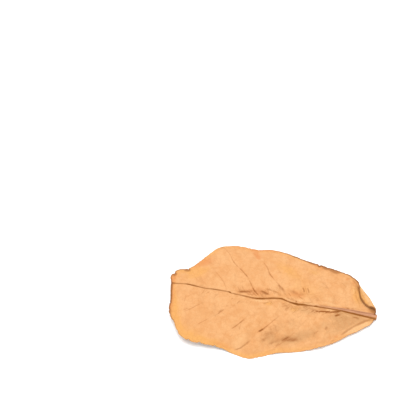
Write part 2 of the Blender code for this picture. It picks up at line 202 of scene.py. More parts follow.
# Edges between faces that meet at a larger angle than this, in degrees, stay sharp.
SHARP_ANGLE = 50

# Small relief of the blade. The ripples are short waves with random directions and phases, and their rise
# is a share of their length.
SEEDS = {"margin": 31, "lines": 11, "ripples": 5}
RIPPLES = 14
RIPPLE_LENGTHS = (7 * MM, 19 * MM)
RIPPLE_RISE = 0.011
# The margin's frill: its height, its waves along a fold line, the angle from which a strip that is turned
# up has none, and the width from which it has all of it.
FRILL = 0.3 * MM
FRILL_WAVES = (19, 31)
FRILL_GONE = np.radians(60)
FRILL_FULL = 3 * MM
# The margin's nibbling: its depth, its random waves along a fold line, and how many times it comes and goes.
# Nibbles and notches leave at least this share of the strip's width.
NIBBLE = 0.45 * MM
NIBBLE_WAVES = (23, 41, 67)
NIBBLE_TIMES = 5
STRIP_LEFT = 0.3
# The side veins: the width of the line above and of the ridge below, the length of the wave in which the
# line strays, the share of the groove's depth that stays where the vein doesn't show, the share of the
# ridge that is lost on the way to the margin, and how much of that way the curled strip counts for.
VEIN_LINE = 0.5 * MM
VEIN_RIDGE_WIDTH = 0.9 * MM
VEIN_WAVE = 37 * MM
VEIN_HIDDEN = 0.25
VEIN_THINNED = 0.75
STRIP_SHARE = 0.08
# The midrib's crest is 1 less the square of the place across it, to this power.
CREST_POWER = 0.8
# Ripples and creases fade in beside the midrib, and ripples at the margin too, over these widths. On the
# midrib itself the creases keep a share of their depth.
RIB_FADE = 4 * MM
MARGIN_FADE = 5 * MM
CREASE_ON_RIB = 0.35
# How many of its half widths away the place across the midrib is still followed.
ACROSS_LIMIT = 4
# The grooves beside the midrib: their width, and along MIDRIB_AT how deep the one on its far side is.
RIB_GROOVE_WIDTH = 0.45 * MM
FAR_RIB_GROOVE = MM * np.array([0.05, 0.05, 0.05, 0.05, 0.1, 0.1, 0.15, 0.15, 0.2, 0.2, 0.2, 0.2])
# The dark line beside the midrib, partly the dark of its groove and, towards the stalk, painted shade on the
# near side of the raised midrib: its course in plan, places along it with its width and how dark it is
# there, in millimetres, and along MIDRIB_AT how deep it lies and how far the blade is pushed up behind it,
# with how far away that ridge is and how wide.
LINE_COURSE = MM * np.array([
    (0, -0.2), (7, 0.5), (15, 1.55), (20, 1.35), (28, 0.35), (33, -0.1), (46, 0.7), (57, 0.6),
    (60.5, -0.75), (70, -0.9), (85, -1.75), (91, -1.1), (97, 0.1), (101, 0.75), (109, 1.4), (112, 0.5),
    (118, -1.1), (124, -1.75), (131, -1.15), (142, -0.7), (155, -0.4), (166, -0.3), (178, -0.75),
    (190, -1.15), (200, -1.9),
])
LINE_LOOKS = np.array([
    (0, 1.5, 1.1), (5, 1.2, 0.7), (13, 1.0, 0.6), (17, 1.4, 1.0), (27, 1.4, 0.95), (33, 1.3, 0.75),
    (45, 1.2, 0.8), (56, 1.0, 0.55), (58.8, 1.2, 1.2), (60.5, 1.0, 0.6), (64, 1.3, 0.8), (68, 1.0, 0.5),
    (71, 1.1, 0.7), (83, 1.3, 0.9), (86, 1.4, 1.1), (92, 1.4, 1.05), (94.5, 1.4, 0.85), (98, 1.6, 1.0),
    (106, 1.5, 0.9), (109, 1.4, 1.4), (112, 1.2, 1.15), (115.5, 1.0, 0.85), (119, 1.2, 1.0),
    (122.5, 1.4, 1.3), (126, 1.35, 1.15), (130, 1.3, 1.1), (136, 1.1, 0.85), (139.5, 0.9, 0.7),
    (141.6, 1.0, 1.2), (144, 1.0, 0.9), (165, 1.05, 0.95), (172, 1.15, 1.15), (184, 1.15, 1.1),
    (190, 1.1, 1.05), (200, 1.6, 0.8),
])
LINE_GROOVE = MM * np.array([0.1, 0.1, 0.15, 0.15, 0.2, 0.2, 0.25, 0.4, 0.45, 0.5, 0.5, 0.45])
LINE_BACK = MM * np.array([0.05, 0.05, 0.05, 0.1, 0.1, 0.15, 0.4, 0.5, 0.35, 0.15, 0.05, 0])
LINE_BACK_AWAY = 1.3 * MM
LINE_BACK_WIDTH = 0.9 * MM
# Knots on the midrib: place along it, place across it, radius and height, in millimetres.
KNOTS = (
    (59, 1.0, 1.0, 0.5), (78, -1.9, 0.9, 0.25), (123.5, 0.6, 1.2, 0.9), (127.5, 1.6, 1.2, 0.8),
    (133, 1.6, 1.4, 0.6), (142.5, 0.8, 1.4, 0.7),
)

# Creases that stand out one by one: their points in plan, width and depth, in millimetres, and how dark
# they are. Their darkening is partly painted shade in the crease.
CREASES = (
    (((142.4, -5.8), (144, -5), (148, -4.8), (152, -4.1), (157.5, -3.3), (161, -2.4), (166, -1)),
     1.2, 0.8, 1.6),
    (((142.6, -5.4), (147, -4.9)), 1.5, 0.3, 1.9),
    (((141.8, -4.2), (138.2, -7.4)), 1.0, 0.25, 0.6),
    (((142.6, -5.6), (141, -7.8)), 0.7, 0.2, 0.5),
    (((137, -2.6), (132.4, -6.4)), 0.8, 0.2, 0.3),
    (((150.5, -5.9), (154.5, -5.0), (158.5, -4.1)), 0.8, 0.3, 0.5),
    (((160.6, -7), (163.2, -5.6), (166, -4)), 1.4, 0.5, 1.2),
    (((122.8, -0.6), (123, 1), (123.6, 2.2)), 0.8, 0.3, 1.1),
    (((129.6, 0.2), (130.2, 1.8)), 0.6, 0.2, 0.4),
    (((113.2, 3.9), (115.8, 3.0), (119.6, 1.9)), 0.7, 0.2, 0.5),
    (((130.5, 0.9), (135, 2.2), (139.5, 3.2)), 0.6, 0.2, 0.3),
    (((178.6, -3.9), (182.4, -3.6)), 0.8, 0.15, 0.5),
    (((66, 2.2), (70, 3.4), (73.5, 4.1), (76.5, 5.4), (80, 6.3)), 1.0, 0.45, 0.9),
    (((76.4, 3.6), (78, 5.3)), 0.7, 0.25, 0.5),
    (((77.6, 2.5), (79.4, 1.8), (81.2, 1.4)), 0.9, 0.25, 0.7),
    (((80.4, 3.8), (82.4, 1.7)), 0.6, 0.2, 0.4),
    (((88.4, 6.6), (92, 5.6), (96.8, 4.1)), 0.9, 0.4, 0.9),
    (((92, 9.6), (98, 8.9), (102, 7.8), (106.4, 6.8)), 1.0, 0.3, 0.55),
    (((127.6, 18.4), (129, 16.6), (130, 13.2)), 0.9, 0.3, 0.75),
    (((132.2, 18.2), (133.6, 15), (134.4, 11.8)), 1.0, 0.25, 0.55),
    (((120.6, -35.4), (118, -38), (114.4, -41.4)), 0.8, 0.35, 1.0),
    (((122.6, -37.4), (119, -40.6)), 0.6, 0.2, 0.8),
    (((127.4, -37.6), (123.6, -39.2)), 0.6, 0.2, 0.5),
    (((112.5, -44.2), (109.5, -47.6)), 0.6, 0.2, 0.5),
    (((96.4, -34), (94.8, -36.2), (92.4, -38.8)), 1.0, 0.35, 1.0),
    (((98, -33.2), (95.6, -35.6)), 0.7, 0.2, 0.6),
    (((85, -47.6), (81.4, -52.4), (77.6, -55.4), (72.6, -58.6)), 0.8, 0.15, 0.5),
    (((54.4, -21.4), (51.4, -25)), 1.2, 0.2, 0.4),
    (((114.8, -7), (113.6, -11)), 1.1, 0.15, 0.5),
    (((112.7, -2.4), (119.7, -4.3), (127.6, -5.9)), 0.6, 0.25, 0.3),
    (((142.5, -29), (147.5, -24.5)), 0.8, 0.25, 0.3),
    # The fold where the near margin turns up; its brown is painted shade in the fold.
    (((168.5, -25), (171.5, -21.5), (174.5, -18.2), (181.5, -12.5), (185, -9.6), (190, -5.6), (196, -2.8)),
     1.4, 0.4, 0.55),
)
# Behind a crease the blade is pushed up by this share of its depth, this many widths away. The crease
# fades over the outer share of its reach, and towards each end over a length, or over a share of its own
# where that is shorter, to what is left at its very end.
CREASE_BACK = 0.55
CREASE_BACK_AWAY = 1.6
CREASE_REACH = 3 * MM
CREASE_REACH_FADE = 0.4
CREASE_FADE = 3.5 * MM
CREASE_FADE_SHARE = 0.3
CREASE_END_LEFT = 0.25
# Places far from every vein and crease count as this far away, in metres and in widths of a crease.
FAR_OFF = 1.0
WIDTHS_OFF = 9.0
# Fine wrinkles fan out from the midrib, most of them where the blade has shrunk beside it: the stretch
# of the midrib, the side, how many, and how long. They and the scratches are given in millimetres too.
WRINKLES = (
    ((66, 104), 1, 20, (2.5, 8)),
    ((104, 150), 1, 14, (2.5, 7)),
    ((96, 134), -1, 20, (3, 9)),
    ((134, 170), -1, 10, (2.5, 6)),
    ((30, 90), -1, 12, (2, 6)),
)
# How far from the midrib's side they start, about half its width, and between which directions they run.
WRINKLE_AWAY = (0.4, 5.5)
RIB_HALF = 0.8
WRINKLE_TURN = (100, 165)
# Scratches lie anywhere on the blade, most of them along the side veins: how many, how long, between which
# places along the leaf, at which share of the way to the margin, the middle and spread of their direction,
# and how strong they are beside a wrinkle.
SCRATCHES = 46
SCRATCH_LENGTH = (2.5, 9)
SCRATCH_AT = (14, 184)
SCRATCH_SHARE = (0.12, 0.86)
SCRATCH_TURN = (133, 22)
SCRATCH_STRENGTH = 0.5
# The width and depth of such a short line, how dark it is, and its bend in radians.
SHORT_WIDTH = (0.4, 0.75)
SHORT_DEPTH = (0.06, 0.2)
SHORT_DARK = (0.15, 0.6)
SHORT_BEND = 0.35
# About how far the blade reaches from the midrib: the most, and the ends and the power of the sine.
HALF_WIDTH = 60
HALF_WIDTH_ENDS = (-12, 220)
HALF_WIDTH_POWER = 0.7

# Coloured patches: reddish blush, brown stains, dull olive, gold, pale places, and the painted shadow under
# the flap; some patches of the other kinds are painted shade or highlight too, as noted at each kind. Each
# has its centre x and y, length and width, in millimetres, direction from x and strength.
PATCHES = {
    "blush": (
        (77, 54, 7, 4, -60, 1.0), (80, 48, 4, 3, -70, 0.7), (177.2, 34.6, 4.5, 2, -70, 0.75),
        (170.6, 38.2, 4, 1.4, 45, 0.9), (122, 9.5, 10, 6, 0, 0.85), (84, 5, 16, 5, 0, 0.8),
        (29, 33, 10, 6, 30, 0.9), (102, -32, 24, 7, 48, 0.35), (2.5, -16, 18, 4, -80, 1.6),
        # The blush at (180.4, 22) is painted shade of the fold beside the flap's edge.
        (-1, 6.5, 7, 4, 85, 1.6), (180.4, 22, 11, 2.2, 85, 0.45), (171, 3.8, 7, 1.2, 0, 0.9),
        (20, 29, 9, 5, 45, 0.9), (80, 61, 34, 3.5, 0, 0.9), (140, 50, 14, 3, -18, 1.0),
        (62, -57, 16, 2, -5, 0.7), (164, -27.6, 2, 1.4, 30, 0.8),
    ),
    # Most stains are the leaf's own brown spots. Some are painted shade: those beside the flap's edge and in
    # the fold at its lower end, from x 178 to 199, and the band along the near side of the midrib's dark
    # line, from x 134 to 170. The dark places along the far margin, from x 134 to 158, are partly painted
    # shadow.
    "stain": (
        (2.8, -14, 13, 1.3, -80, 1.1), (5.6, -30, 5, 1.5, -60, 0.7), (119.5, 11.2, 5.5, 2.8, -8, 0.7),
        (128, 11.4, 4, 3, 60, 0.4), (137, 10.8, 7, 1.8, 3, 0.4), (104.3, 16.3, 3.6, 1.5, -52, 0.6),
        (107.8, 13.1, 3.6, 1.7, -42, 0.7), (80, 4.6, 13, 2.8, 0, 0.5), (70.6, 3.3, 4, 1.3, 3, 1.1),
        (92.6, 4.7, 3.6, 1.4, -12, 1.1), (86, 7.4, 6, 2.5, 0, 0.35), (117.6, -38.4, 4, 1.8, 48, 0.6),
        (124.5, -38.6, 4, 1.8, 15, 0.6), (112, -40, 12, 4, 20, 0.5), (127, -37, 10, 3, 15, 0.45),
        (101, -38, 6, 3.5, 35, 0.45), (97.5, -44, 3.6, 1.8, 45, 0.55), (106, -45, 4, 1.4, 40, 0.5),
        (84.4, -48.4, 3.6, 1.8, 50, 0.5), (80, -52, 3, 1.4, 45, 0.4), (181.6, 15, 7, 1.6, -65, 0.5),
        (178.6, 25, 6, 1.7, -85, 0.5), (153.8, -21.6, 2.8, 1.7, 60, 0.8), (53, -23, 4, 2, 52, 0.5),
        (1.6, 10.6, 2.6, 1.8, 60, 1.5), (12.4, 18.4, 3.2, 1.9, 12, 1.8), (2.5, -0.4, 5, 1.4, 0, 0.5),
        (41.5, 55, 2.8, 1.4, 35, 0.9), (134, 51.6, 6, 1.8, -20, 1.3), (148.2, 48.2, 3, 1.9, -20, 2.2),
        (153, 46.8, 4, 1.2, -25, 1.5), (157.8, 45.2, 4.4, 1.7, -12, 2.1), (156, 42.5, 9, 3, -15, 0.4),
        (172.6, 4.2, 2, 1.0, 0, 1.0), (177, 4.4, 1.6, 0.9, 0, 0.8), (153.6, 14, 3, 2.6, 60, 0.35),
        (180.6, -4, 3.6, 1.2, -5, 0.9), (134.5, -3, 7.5, 1.9, 0, 0.7), (149, -2.4, 6, 1.5, 5, 0.5),
        (140, -4.8, 3.5, 1.2, 20, 0.6), (183, 5.3, 9, 1, 0, 0.45), (170, -3.2, 5, 1.3, 0, 0.35),
        (164, -5.4, 3, 1.2, 35, 0.4), (196, 8.4, 3, 1.4, -10, 0.8), (182.4, -5.8, 1.8, 1.6, 60, 0.5),
        (107, -30.5, 13, 6, 25, 0.45), (121, -20, 7, 5, 0, 0.42), (70.5, -39, 8, 6, 50, 0.44),
        (104, 10.5, 10, 4, -10, 0.38), (190.5, 9.6, 5, 2, -25, 0.55), (176.8, 37.4, 4.5, 1.3, -48, 0.65),
        (186, 16, 5, 1.6, -60, 0.55), (196.6, 6.4, 3.4, 2.6, -30, 1.3), (198.2, -3.6, 2, 1.4, 50, 1.7),
    ),
    # The olive at (195, -4.6) darkens the near rim beside the stalk as painted shade.
    "olive": (
        (124, -38, 24, 5, 24, 1.0), (166, -20, 12, 4, 35, 0.7), (175, -9, 19, 6, 20, 1.1),
        (161, -7.5, 8, 3, 8, 0.9), (181, -4.5, 8, 2.5, 5, 0.7), (171, -2.8, 7, 2.2, 0, 1.4),
        (136, -7, 10, 4, 0, 0.6), (120, -6, 22, 4, -4, 0.35), (60, 2, 16, 3, 0, 0.2),
        (151, 23, 2.6, 1.8, 0, 0.8), (101, -40, 9, 5, 30, 0.6), (122, -26, 16, 8, 30, 0.4),
        (134, -31, 10, 5, 30, 0.5), (150, -20, 8, 4, 30, 0.5), (184.6, 22.6, 4.5, 0.9, -68, 0.8),
        (195, -4.6, 4, 1.8, 33, 0.55),
    ),
    # The gold at (182.8, 24) tints the painted shadow along the flap's edge, and the gold at (195, -4.8)
    # darkens the near rim beside the stalk as painted shade.
    "gold": (
        (24, 17, 15, 6, 45, 0.9), (8, -26, 18, 7, -62, 0.9), (30, -52, 22, 7, -14, 0.6),
        (112, 36, 16, 8, -30, 0.8), (138, 40, 8, 4, 0, 0.6), (179.5, 20, 13, 4, -75, 1.0),
        (182.8, 24, 8, 1.2, -80, 1.0), (128, 14, 24, 12, 10, 0.45), (122.5, -7, 5, 3, 20, 0.8),
        (97.5, -6.5, 4, 3, 0, 0.8), (184.6, 23, 6, 2.2, -65, 1.0), (189, 14.5, 4, 2.2, -45, 0.6),
        (195, -4.8, 4, 2, 33, 0.9),
    ),
    # The pale patches on the ridge beside the midrib's dark line, from x 114 to 144, are painted highlight,
    # and the one at (77, -51) is painted light on a slope of the near half that faces away from the light.
    # The rest are the leaf's own pale places.
    "pale": (
        (183, -14.6, 13.5, 3, 35, 1.6), (127.3, 2.8, 2.3, 1.2, 0, 1.3), (143.2, 1.6, 2, 1.2, 0, 1.3),
        (136.5, 1.1, 4.5, 0.9, 3, 1.8), (158, 5.4, 9, 1.5, 0, 0.6), (114.8, 1.9, 5, 0.9, -20, 0.9),
        (155, -1.9, 3, 0.8, 12, 1.0), (172, -3.4, 6, 1.0, -2, 0.5), (88, -4.2, 9, 1.1, 0, 0.9),
        (77, -51, 14, 7, 60, 0.6), (190.8, 17.8, 10, 1.9, -57, 1.0), (185, 27.6, 3, 1.4, -55, 0.8),
        (177, 24, 4, 1.2, 85, 0.5), (144, 39.5, 10, 5, -15, 0.42), (155, 10, 9, 4.5, 0, 0.42),
        (75, -10.5, 10, 5, -5, 0.42), (34, -36, 10, 9, 60, 0.34), (105, 49, 9, 5, 0, 0.34),
    ),
    # Painted shadow on the upper face, under the flap's free edge.
    "under_flap": (
        (183, 24, 8, 0.9, -80, 0.55), (187.4, 16, 3.5, 1.0, -55, 1.0), (193, 12.6, 7, 1.4, -18, 1.1),
    ),
}

# Noise in the blade's colour: the size of its features, its detail and its roughness. The streaks of the
# midrib are drawn out along the leaf by this share.
NOISES = {
    "cloud": (22 * MM, 4.0, 0.55),
    "blotch": (5 * MM, 3.0, 0.55),
    "grain": (0.9 * MM, 2.0, 0.55),
    "broken": (3.2 * MM, 4.0, 0.65),
    "fleck": (1.4 * MM, 4.0, 0.7),
}
STREAK = (1.1 * MM, 3.0, 0.6)
STREAK_ALONG = 0.12
# How the patches of a kind show: the most that they take of the colour below, their even part and the part
# that noise breaks up, and the strengths between which they come in.
SHOWS = {
    "gold": (0.85, 0.35, 1.1, 0.05, 1.0),
    "blush": (0.75, 0.3, 1.3, 0.08, 1.1),
    "olive": (0.7, 0.4, 1.1, 0.08, 1.1),
    "pale": (0.8, 0.6, 0.8, 0.0, 1.0),
    "stain": (0.8, 0.2, 1.6, 0.15, 1.15),
}
# The other marks: the most that each takes of it, and from which value to which it comes in or, where the
# value is a distance, fades.
MARKS = {
    "fleck": (0.24, 0.38, 0.7),
    "speck": (0.28, 0.66, 0.8),
    "under_flap": (0.8, 0.0, 1.0),
    "halo": (0.2, 0.3, 2.0),
    "crease": (0.9, 0.15, 1.25),
    "rib_edge": (0.2, 0.05, 0.35),
    "rib_line": (0.95, 0.25, 1.0),
}
# The values of the noise between which one colour turns into the next, or a mark breaks off.
TURNS = {
    "mottling": (0.37, 0.63),
    "speck": (0.45, 0.7),
    "vein": (0.25, 0.5),
    "streak": (0.35, 0.65),
    "fibre": (0.35, 0.7),
}
# How far noise shifts the side veins, in millimetres, and the creases and the dark line, in their widths.
SHIFTS = {"vein": 0.5, "crease": 0.6, "rib_line": 0.5}
# The even part, and the part that follows the noise, of the golden margin, of the net, of the brown edge and
# of the blade's roughness.
PARTS = {
    "gold_margin": (0.55, 0.9),
    "net": (0.4, 1.2),
    "brown_edge": (0.3, 0.9),
    "roughness": (0.56, 0.2),
}
# How much of the lower face's own tint lies over the tan.
UNDER_MOST = 0.6
# The gold of the margin fades between these distances, in millimetres.
GOLD_REACH = (1.5, 8.5)
# A side vein's line: the most that it takes, where it starts to fade and how far it reaches, in millimetres,
# and how much further where it shows plainly.
VEIN_MOST = 0.85
VEIN_START, VEIN_REACH, VEIN_PLAIN = 0.05, 0.45, 0.6
# The brown edge likewise, where it is brown, and from which to which strength it comes in.
BROWN_START, BROWN_REACH, BROWN_MORE = 0.15, 0.5, 1.3
BROWN_ENDS = (0.0, 1.3)
# The midrib's colour: between which shares of the leaf's length it moves to the far side, by how many half
# widths, and comes out, what shows of it before that, its flank, and its brown edge's place across it.
RIB_MOVES = (0.6, 0.86)
RIB_MOVED = 0.55
RIB_COMES = (0.64, 0.86)
RIB_BEFORE = 0.05
RIB_FLANK = (0.85, 1.2)
RIB_EDGE = 1.15
# The net of fine veins: the size of the noise that shakes it and how far, the size of its coarse and its
# fine cells, the width of their lines as a share of it, how dark they are, and how much darker from below.
NET_SHAKE = (4 * MM, 2.2 * MM)
COARSE_NET, FINE_NET = 5.2 * MM, 1.3 * MM
COARSE_WIDTH, FINE_WIDTH = 0.09, 0.16
COARSE_DARK, FINE_DARK = 0.10, 0.06
NET_BELOW = 1.8
# The height in the bumps of the fine and coarse net and of the side veins, on the upper and the lower face.
UPPER_RELIEF = (-0.7, -1.0, -2.0)
LOWER_RELIEF = (0.9, 1.6, 0.0)
# The strength and height of the bumps, the noise of the edge's fibres, and the finish.
BLADE_BUMPS = (0.5, 0.12 * MM)
EDGE_BUMPS = (0.6, 0.1 * MM)
EDGE_FIBRES = (0.6 * MM, 3.0, 0.55)
BLADE_SPECULAR = 0.15
EDGE_ROUGHNESS = 0.8
FLOOR_ROUGHNESS = 0.9

# The map for baked pictures: how much of the leaf it spans, where the upper and the lower face start, and
# where the strip of the wall lies across and along.
MAP_SPAN = 0.265
MAP_UPPER = np.array([0.005, 0.005])
MAP_LOWER = np.array([0.005, 0.505])
MAP_STRIP = (0.93, 0.97)
MAP_STRIP_START, MAP_STRIP_LENGTH = 0.01, 0.98

# The lights: how wide they are and where they stand.
KEY_LIGHT = (2.6, (-0.3, 0.7, 1.9))
FRONT_LIGHT = (1.6, (0.35, -1.9, 0.5))
# The stage: the camera looks at the photograph's middle from its own height and side.
VIEW_AT = (-0.0821, 0.1077, 0.0)
VIEW_DISTANCE = 0.7518
VIEW_TURN = 10.66
VIEW_ELEVATION = 50.0
VIEW_LENS = 60.0
SENSOR = 36.0


def through(at, values, wanted):
    """A smooth curve through the values: cubic pieces, with the slope at each from its neighbours."""
    at, values = np.asarray(at, float), np.asarray(values, float)
    slopes = np.gradient(values, at, axis=0)
    piece = np.clip(np.searchsorted(at, wanted, side="right") - 1, 0, len(at) - 2)
    length = at[piece + 1] - at[piece]
    share = np.clip((wanted - at[piece]) / length, 0, 1)
    if values.ndim == 2:
        length, share = length[:, None], share[:, None]
    rest = 1 - share
    return (
        values[piece] * (1 + 2 * share) * rest**2
        + slopes[piece] * length * share * rest**2
        + values[piece + 1] * (3 - 2 * share) * share**2
        - slopes[piece + 1] * length * share**2 * rest
    )


def sizes_of(vectors):
    """The lengths of vectors, which lie along the last axis."""
    return np.linalg.norm(vectors, axis=-1)


def bell(distance, width):
    """1 where the distance is nothing, falling off as a bell of that width."""
    return np.exp(-((distance / width) ** 2))


def sine(turns):
    """A sine of an angle in turns."""
    return np.sin(2 * np.pi * turns)


def midrib(table, x):
    """A value of the midrib at places along it."""
    return through(MIDRIB_AT, table, x)


def fold_line(table, shares):
    """Points of a fold line at shares of its length, the outward direction there, and its length."""
    steps = sizes_of(np.diff(table, axis=0))
    at = np.concatenate([[0], np.cumsum(steps)])
    fine = through(at, table, np.linspace(0, at[-1], FOLD_POINTS))
    lengths = np.concatenate([[0], np.cumsum(sizes_of(np.diff(fine, axis=0)))])
    total = lengths[-1]
    lengths /= total
    along = np.gradient(fine, axis=0)
    side = np.sign(table[:, 1].sum())
    outward = side * np.stack([-along[:, 1], along[:, 0]], axis=1)
    outward /= sizes_of(outward)[:, None]
    points = np.stack([np.interp(shares, lengths, fine[:, axis]) for axis in (0, 1)], axis=1)
    normals = np.stack([np.interp(shares, lengths, outward[:, axis]) for axis in (0, 1)], axis=1)
    return points, normals / sizes_of(normals)[:, None], total


def vein_starts(half):
    """Where the side veins of a half leave the midrib."""
    return MM * np.array([vein[0] for vein in half["veins"]])


def fold_shares(rows, half):
    """Where the rows meet the fold line, and the starts of the veins with both ends of the blade."""
    starts = np.concatenate([[0], vein_starts(half), [BLADE_END]])
    ends = [vein[1] for vein in half["veins"]]
    return np.interp(rows, starts, np.concatenate([[0], ends, [1]])), starts


def row_starts():
    """Where the rows leave the midrib: at the crest and beside each vein and at the blade's ends, with as
    many between them as keeps the rows close at the midrib and at both fold lines."""
    crests = np.concatenate([[0, BLADE_END], vein_starts(FAR_HALF), vein_starts(NEAR_HALF)])
    beside = (crests[2:, None] + VEIN_ROWS).ravel()
    clear = np.abs(beside[:, None] - crests).min(axis=1) > CLOSEST_ROWS
    starts = np.unique(np.concatenate([crests, beside[clear]]))
    needed = np.diff(starts) / ROW_GAP
    for half in (FAR_HALF, NEAR_HALF):
        ends, _, _ = fold_line(half["fold"], fold_shares(starts, half)[0])
        needed = np.maximum(needed, sizes_of(np.diff(ends, axis=0)) / FOLD_GAP)
    rows = [starts[:1]]
    for start, end, cells in zip(starts, starts[1:], np.ceil(needed).astype(int)):
        rows.append(np.linspace(start, end, cells + 1)[1:])
    return np.concatenate(rows)


def rolled(width, angle, bend, columns):
    """How far out and up a curled strip reaches: its slope turns from flat to the angle over the bend."""
    share = np.linspace(0, 1, CURL_STEPS + 1)
    turned = np.clip(share / bend[:, None], 0, 1)
    slope = angle[:, None] * turned**2 * (3 - 2 * turned)
    step = width[:, None] * np.diff(share)
    middle = (slope[:, 1:] + slope[:, :-1]) / 2
    out = np.cumsum(np.cos(middle) * step, axis=1)
    up = np.cumsum(np.sin(middle) * step, axis=1)
    picked = np.round(columns * CURL_STEPS).astype(int) - 1
    return out[:, picked], up[:, picked]


def hollow(x, y, size, direction):
    """A round or long patch: 1 in its middle, falling off as a bell to either side. Its size is its centre
    x and y, length and width, in millimetres."""
    centre_x, centre_y, length, width = MM * np.array(size)
    turn = np.radians(direction)
    along = (x - centre_x) * np.cos(turn) + (y - centre_y) * np.sin(turn)
    across = (y - centre_y) * np.cos(turn) - (x - centre_x) * np.sin(turn)
    return np.exp(-((along / length) ** 2) - (across / width) ** 2)


def waves(x, y):
    """The blade's long waves and dents at plan positions."""
    height = np.zeros_like(x)
    for length, direction, phase, rise in WAVES:
        turn = np.radians(direction)
        height += MM * rise * sine((x * np.cos(turn) + y * np.sin(turn)) / (MM * length) + phase)
    for *size, direction, depth in DENTS:
        height -= MM * depth * hollow(x, y, size, direction)
    return height


def torn(half, shares, total):
    """How much narrower the curled strip is along the margin: a fine random nibbling, as the part of
    some random waves above their middle, which comes and goes, and the notches, each a bell."""
    random = np.random.default_rng(SEEDS["margin"] + half["side"])
    lost = np.zeros_like(shares)
    for count in NIBBLE_WAVES:
        lost += sine(count * shares + random.random()) / len(NIBBLE_WAVES)
    comes = 1 + sine(NIBBLE_TIMES * shares + random.random())
    lost = NIBBLE * np.clip(lost, 0, 1) * comes
    for place, depth, wide in half["notches"]:
        lost += MM * depth * bell((shares - place) * total, MM * wide)
    return lost


def half_blade(rows, half):
    """One half of the blade's lower face, as (rows, columns, 3) points from the midrib outwards, the same
    points in plan with the curl rolled out flat, and where each row meets the fold line. A row is the
    straight way to the fold line, bowed aside. Its height goes from the midrib's to the fold line's, with an
    arch of half a sine, the bulge between two side veins, and the long waves. The curled strip goes on from
    the slope at the fold line, and its edge has a frill of two sines."""
    side = half["side"]
    shares, starts = fold_shares(rows, half)
    fold, outward, total = fold_line(half["fold"], shares)
    curl = ("curl_width", "curl_angle", "curl_bend")
    width, angle, bend = (through(half["curl_at"], half[name], shares) for name in curl)
    width = np.clip(width, 0, None)
    width = np.maximum(width - torn(half, shares, total), STRIP_LEFT * width)
    root = np.stack([rows, midrib(MIDRIB_BEND, rows) + side * midrib(MIDRIB_WIDTH, rows) / 2], axis=1)

    t = BLADE_COLUMNS[None, :]
    way = fold - root
    aside = side * np.stack([way[:, 1], -way[:, 0]], axis=1)
    plan = root[:, None] + way[:, None] * t[..., None]
    plan = plan + half["bow"] * (4 * t * (1 - t))[..., None] * aside[:, None]
    from_height = midrib(MIDRIB_HEIGHT, rows)[:, None]
    to_height = through(EDGE_AT, half["edge"], shares)[:, None]
    height = from_height + (to_height - from_height) * t
    fullness = np.clip(sizes_of(way) / FULL_WAY, 0, 1)[:, None]
    height = height + through(ARCH_AT, half["arch"], rows)[:, None] * np.sin(np.pi * t) * fullness
    gap = np.clip(np.searchsorted(starts, rows, side="right") - 1, 0, len(starts) - 2)
    between = (rows - starts[gap]) / (starts[gap + 1] - starts[gap])
    bulge = PUCKER * np.sin(np.pi * between)[:, None] * np.sin(np.pi * t) ** PUCKER_POWER
    wave, first = waves(plan[..., 0], plan[..., 1]), waves(root[:, :1], root[:, 1:])
    wave = wave - first * (1 - t) - wave[:, -1:] * t
    height = height + bulge * fullness + wave

    columns = half["curl_columns"]
    slope = fold_slope(plan, height, outward)
    out, up = rolled(width, angle, bend, columns)
    lean = np.arctan(slope)[:, None]
    reach = out * np.cos(lean) - up * np.sin(lean)
    rise = out * np.sin(lean) + up * np.cos(lean)
    frill = sum(np.sin(2 * np.pi * count * shares + side) for count in FRILL_WAVES) / 2
    flat_part = np.clip(1 - angle / FRILL_GONE, 0, 1) * np.clip(width / FRILL_FULL, 0, 1)
    rise = rise + FRILL * (frill * flat_part)[:, None] * columns**2
    strip = fold[:, None] + outward[:, None] * reach[..., None]
    rolled_out = fold[:, None] + outward[:, None] * (width[:, None] * columns)[..., None]
    height = np.concatenate([height, height[:, -1:] + rise], axis=1)
    points = np.dstack([np.concatenate([plan, strip], axis=1), height])
    return points, np.concatenate([plan, rolled_out], axis=1), shares


def fold_slope(plan, height, outward):
    """The blade's slope outwards at its fold line, from the last column and the neighbouring rows, with
    the jumps between rows smoothed over a few of them."""
    across = plan[:, -1] - plan[:, -SLOPE_COLUMNS]
    rise = height[:, -1] - height[:, -SLOPE_COLUMNS]
    along, climb = np.gradient(plan[:, -1], axis=0), np.gradient(height[:, -1])
    area = across[:, 0] * along[:, 1] - across[:, 1] * along[:, 0]
    area = np.where(np.abs(area) < 1e-12, 1e-12, area)
    slope_x = (rise * along[:, 1] - climb * across[:, 1]) / area
    slope_y = (climb * across[:, 0] - rise * along[:, 0]) / area
    slope = np.clip(slope_x * outward[:, 0] + slope_y * outward[:, 1], -SLOPE_LIMIT, SLOPE_LIMIT)
    padded = np.pad(slope, SLOPE_ROWS // 2, mode="edge")
    return np.convolve(padded, np.ones(SLOPE_ROWS) / SLOPE_ROWS, mode="valid")


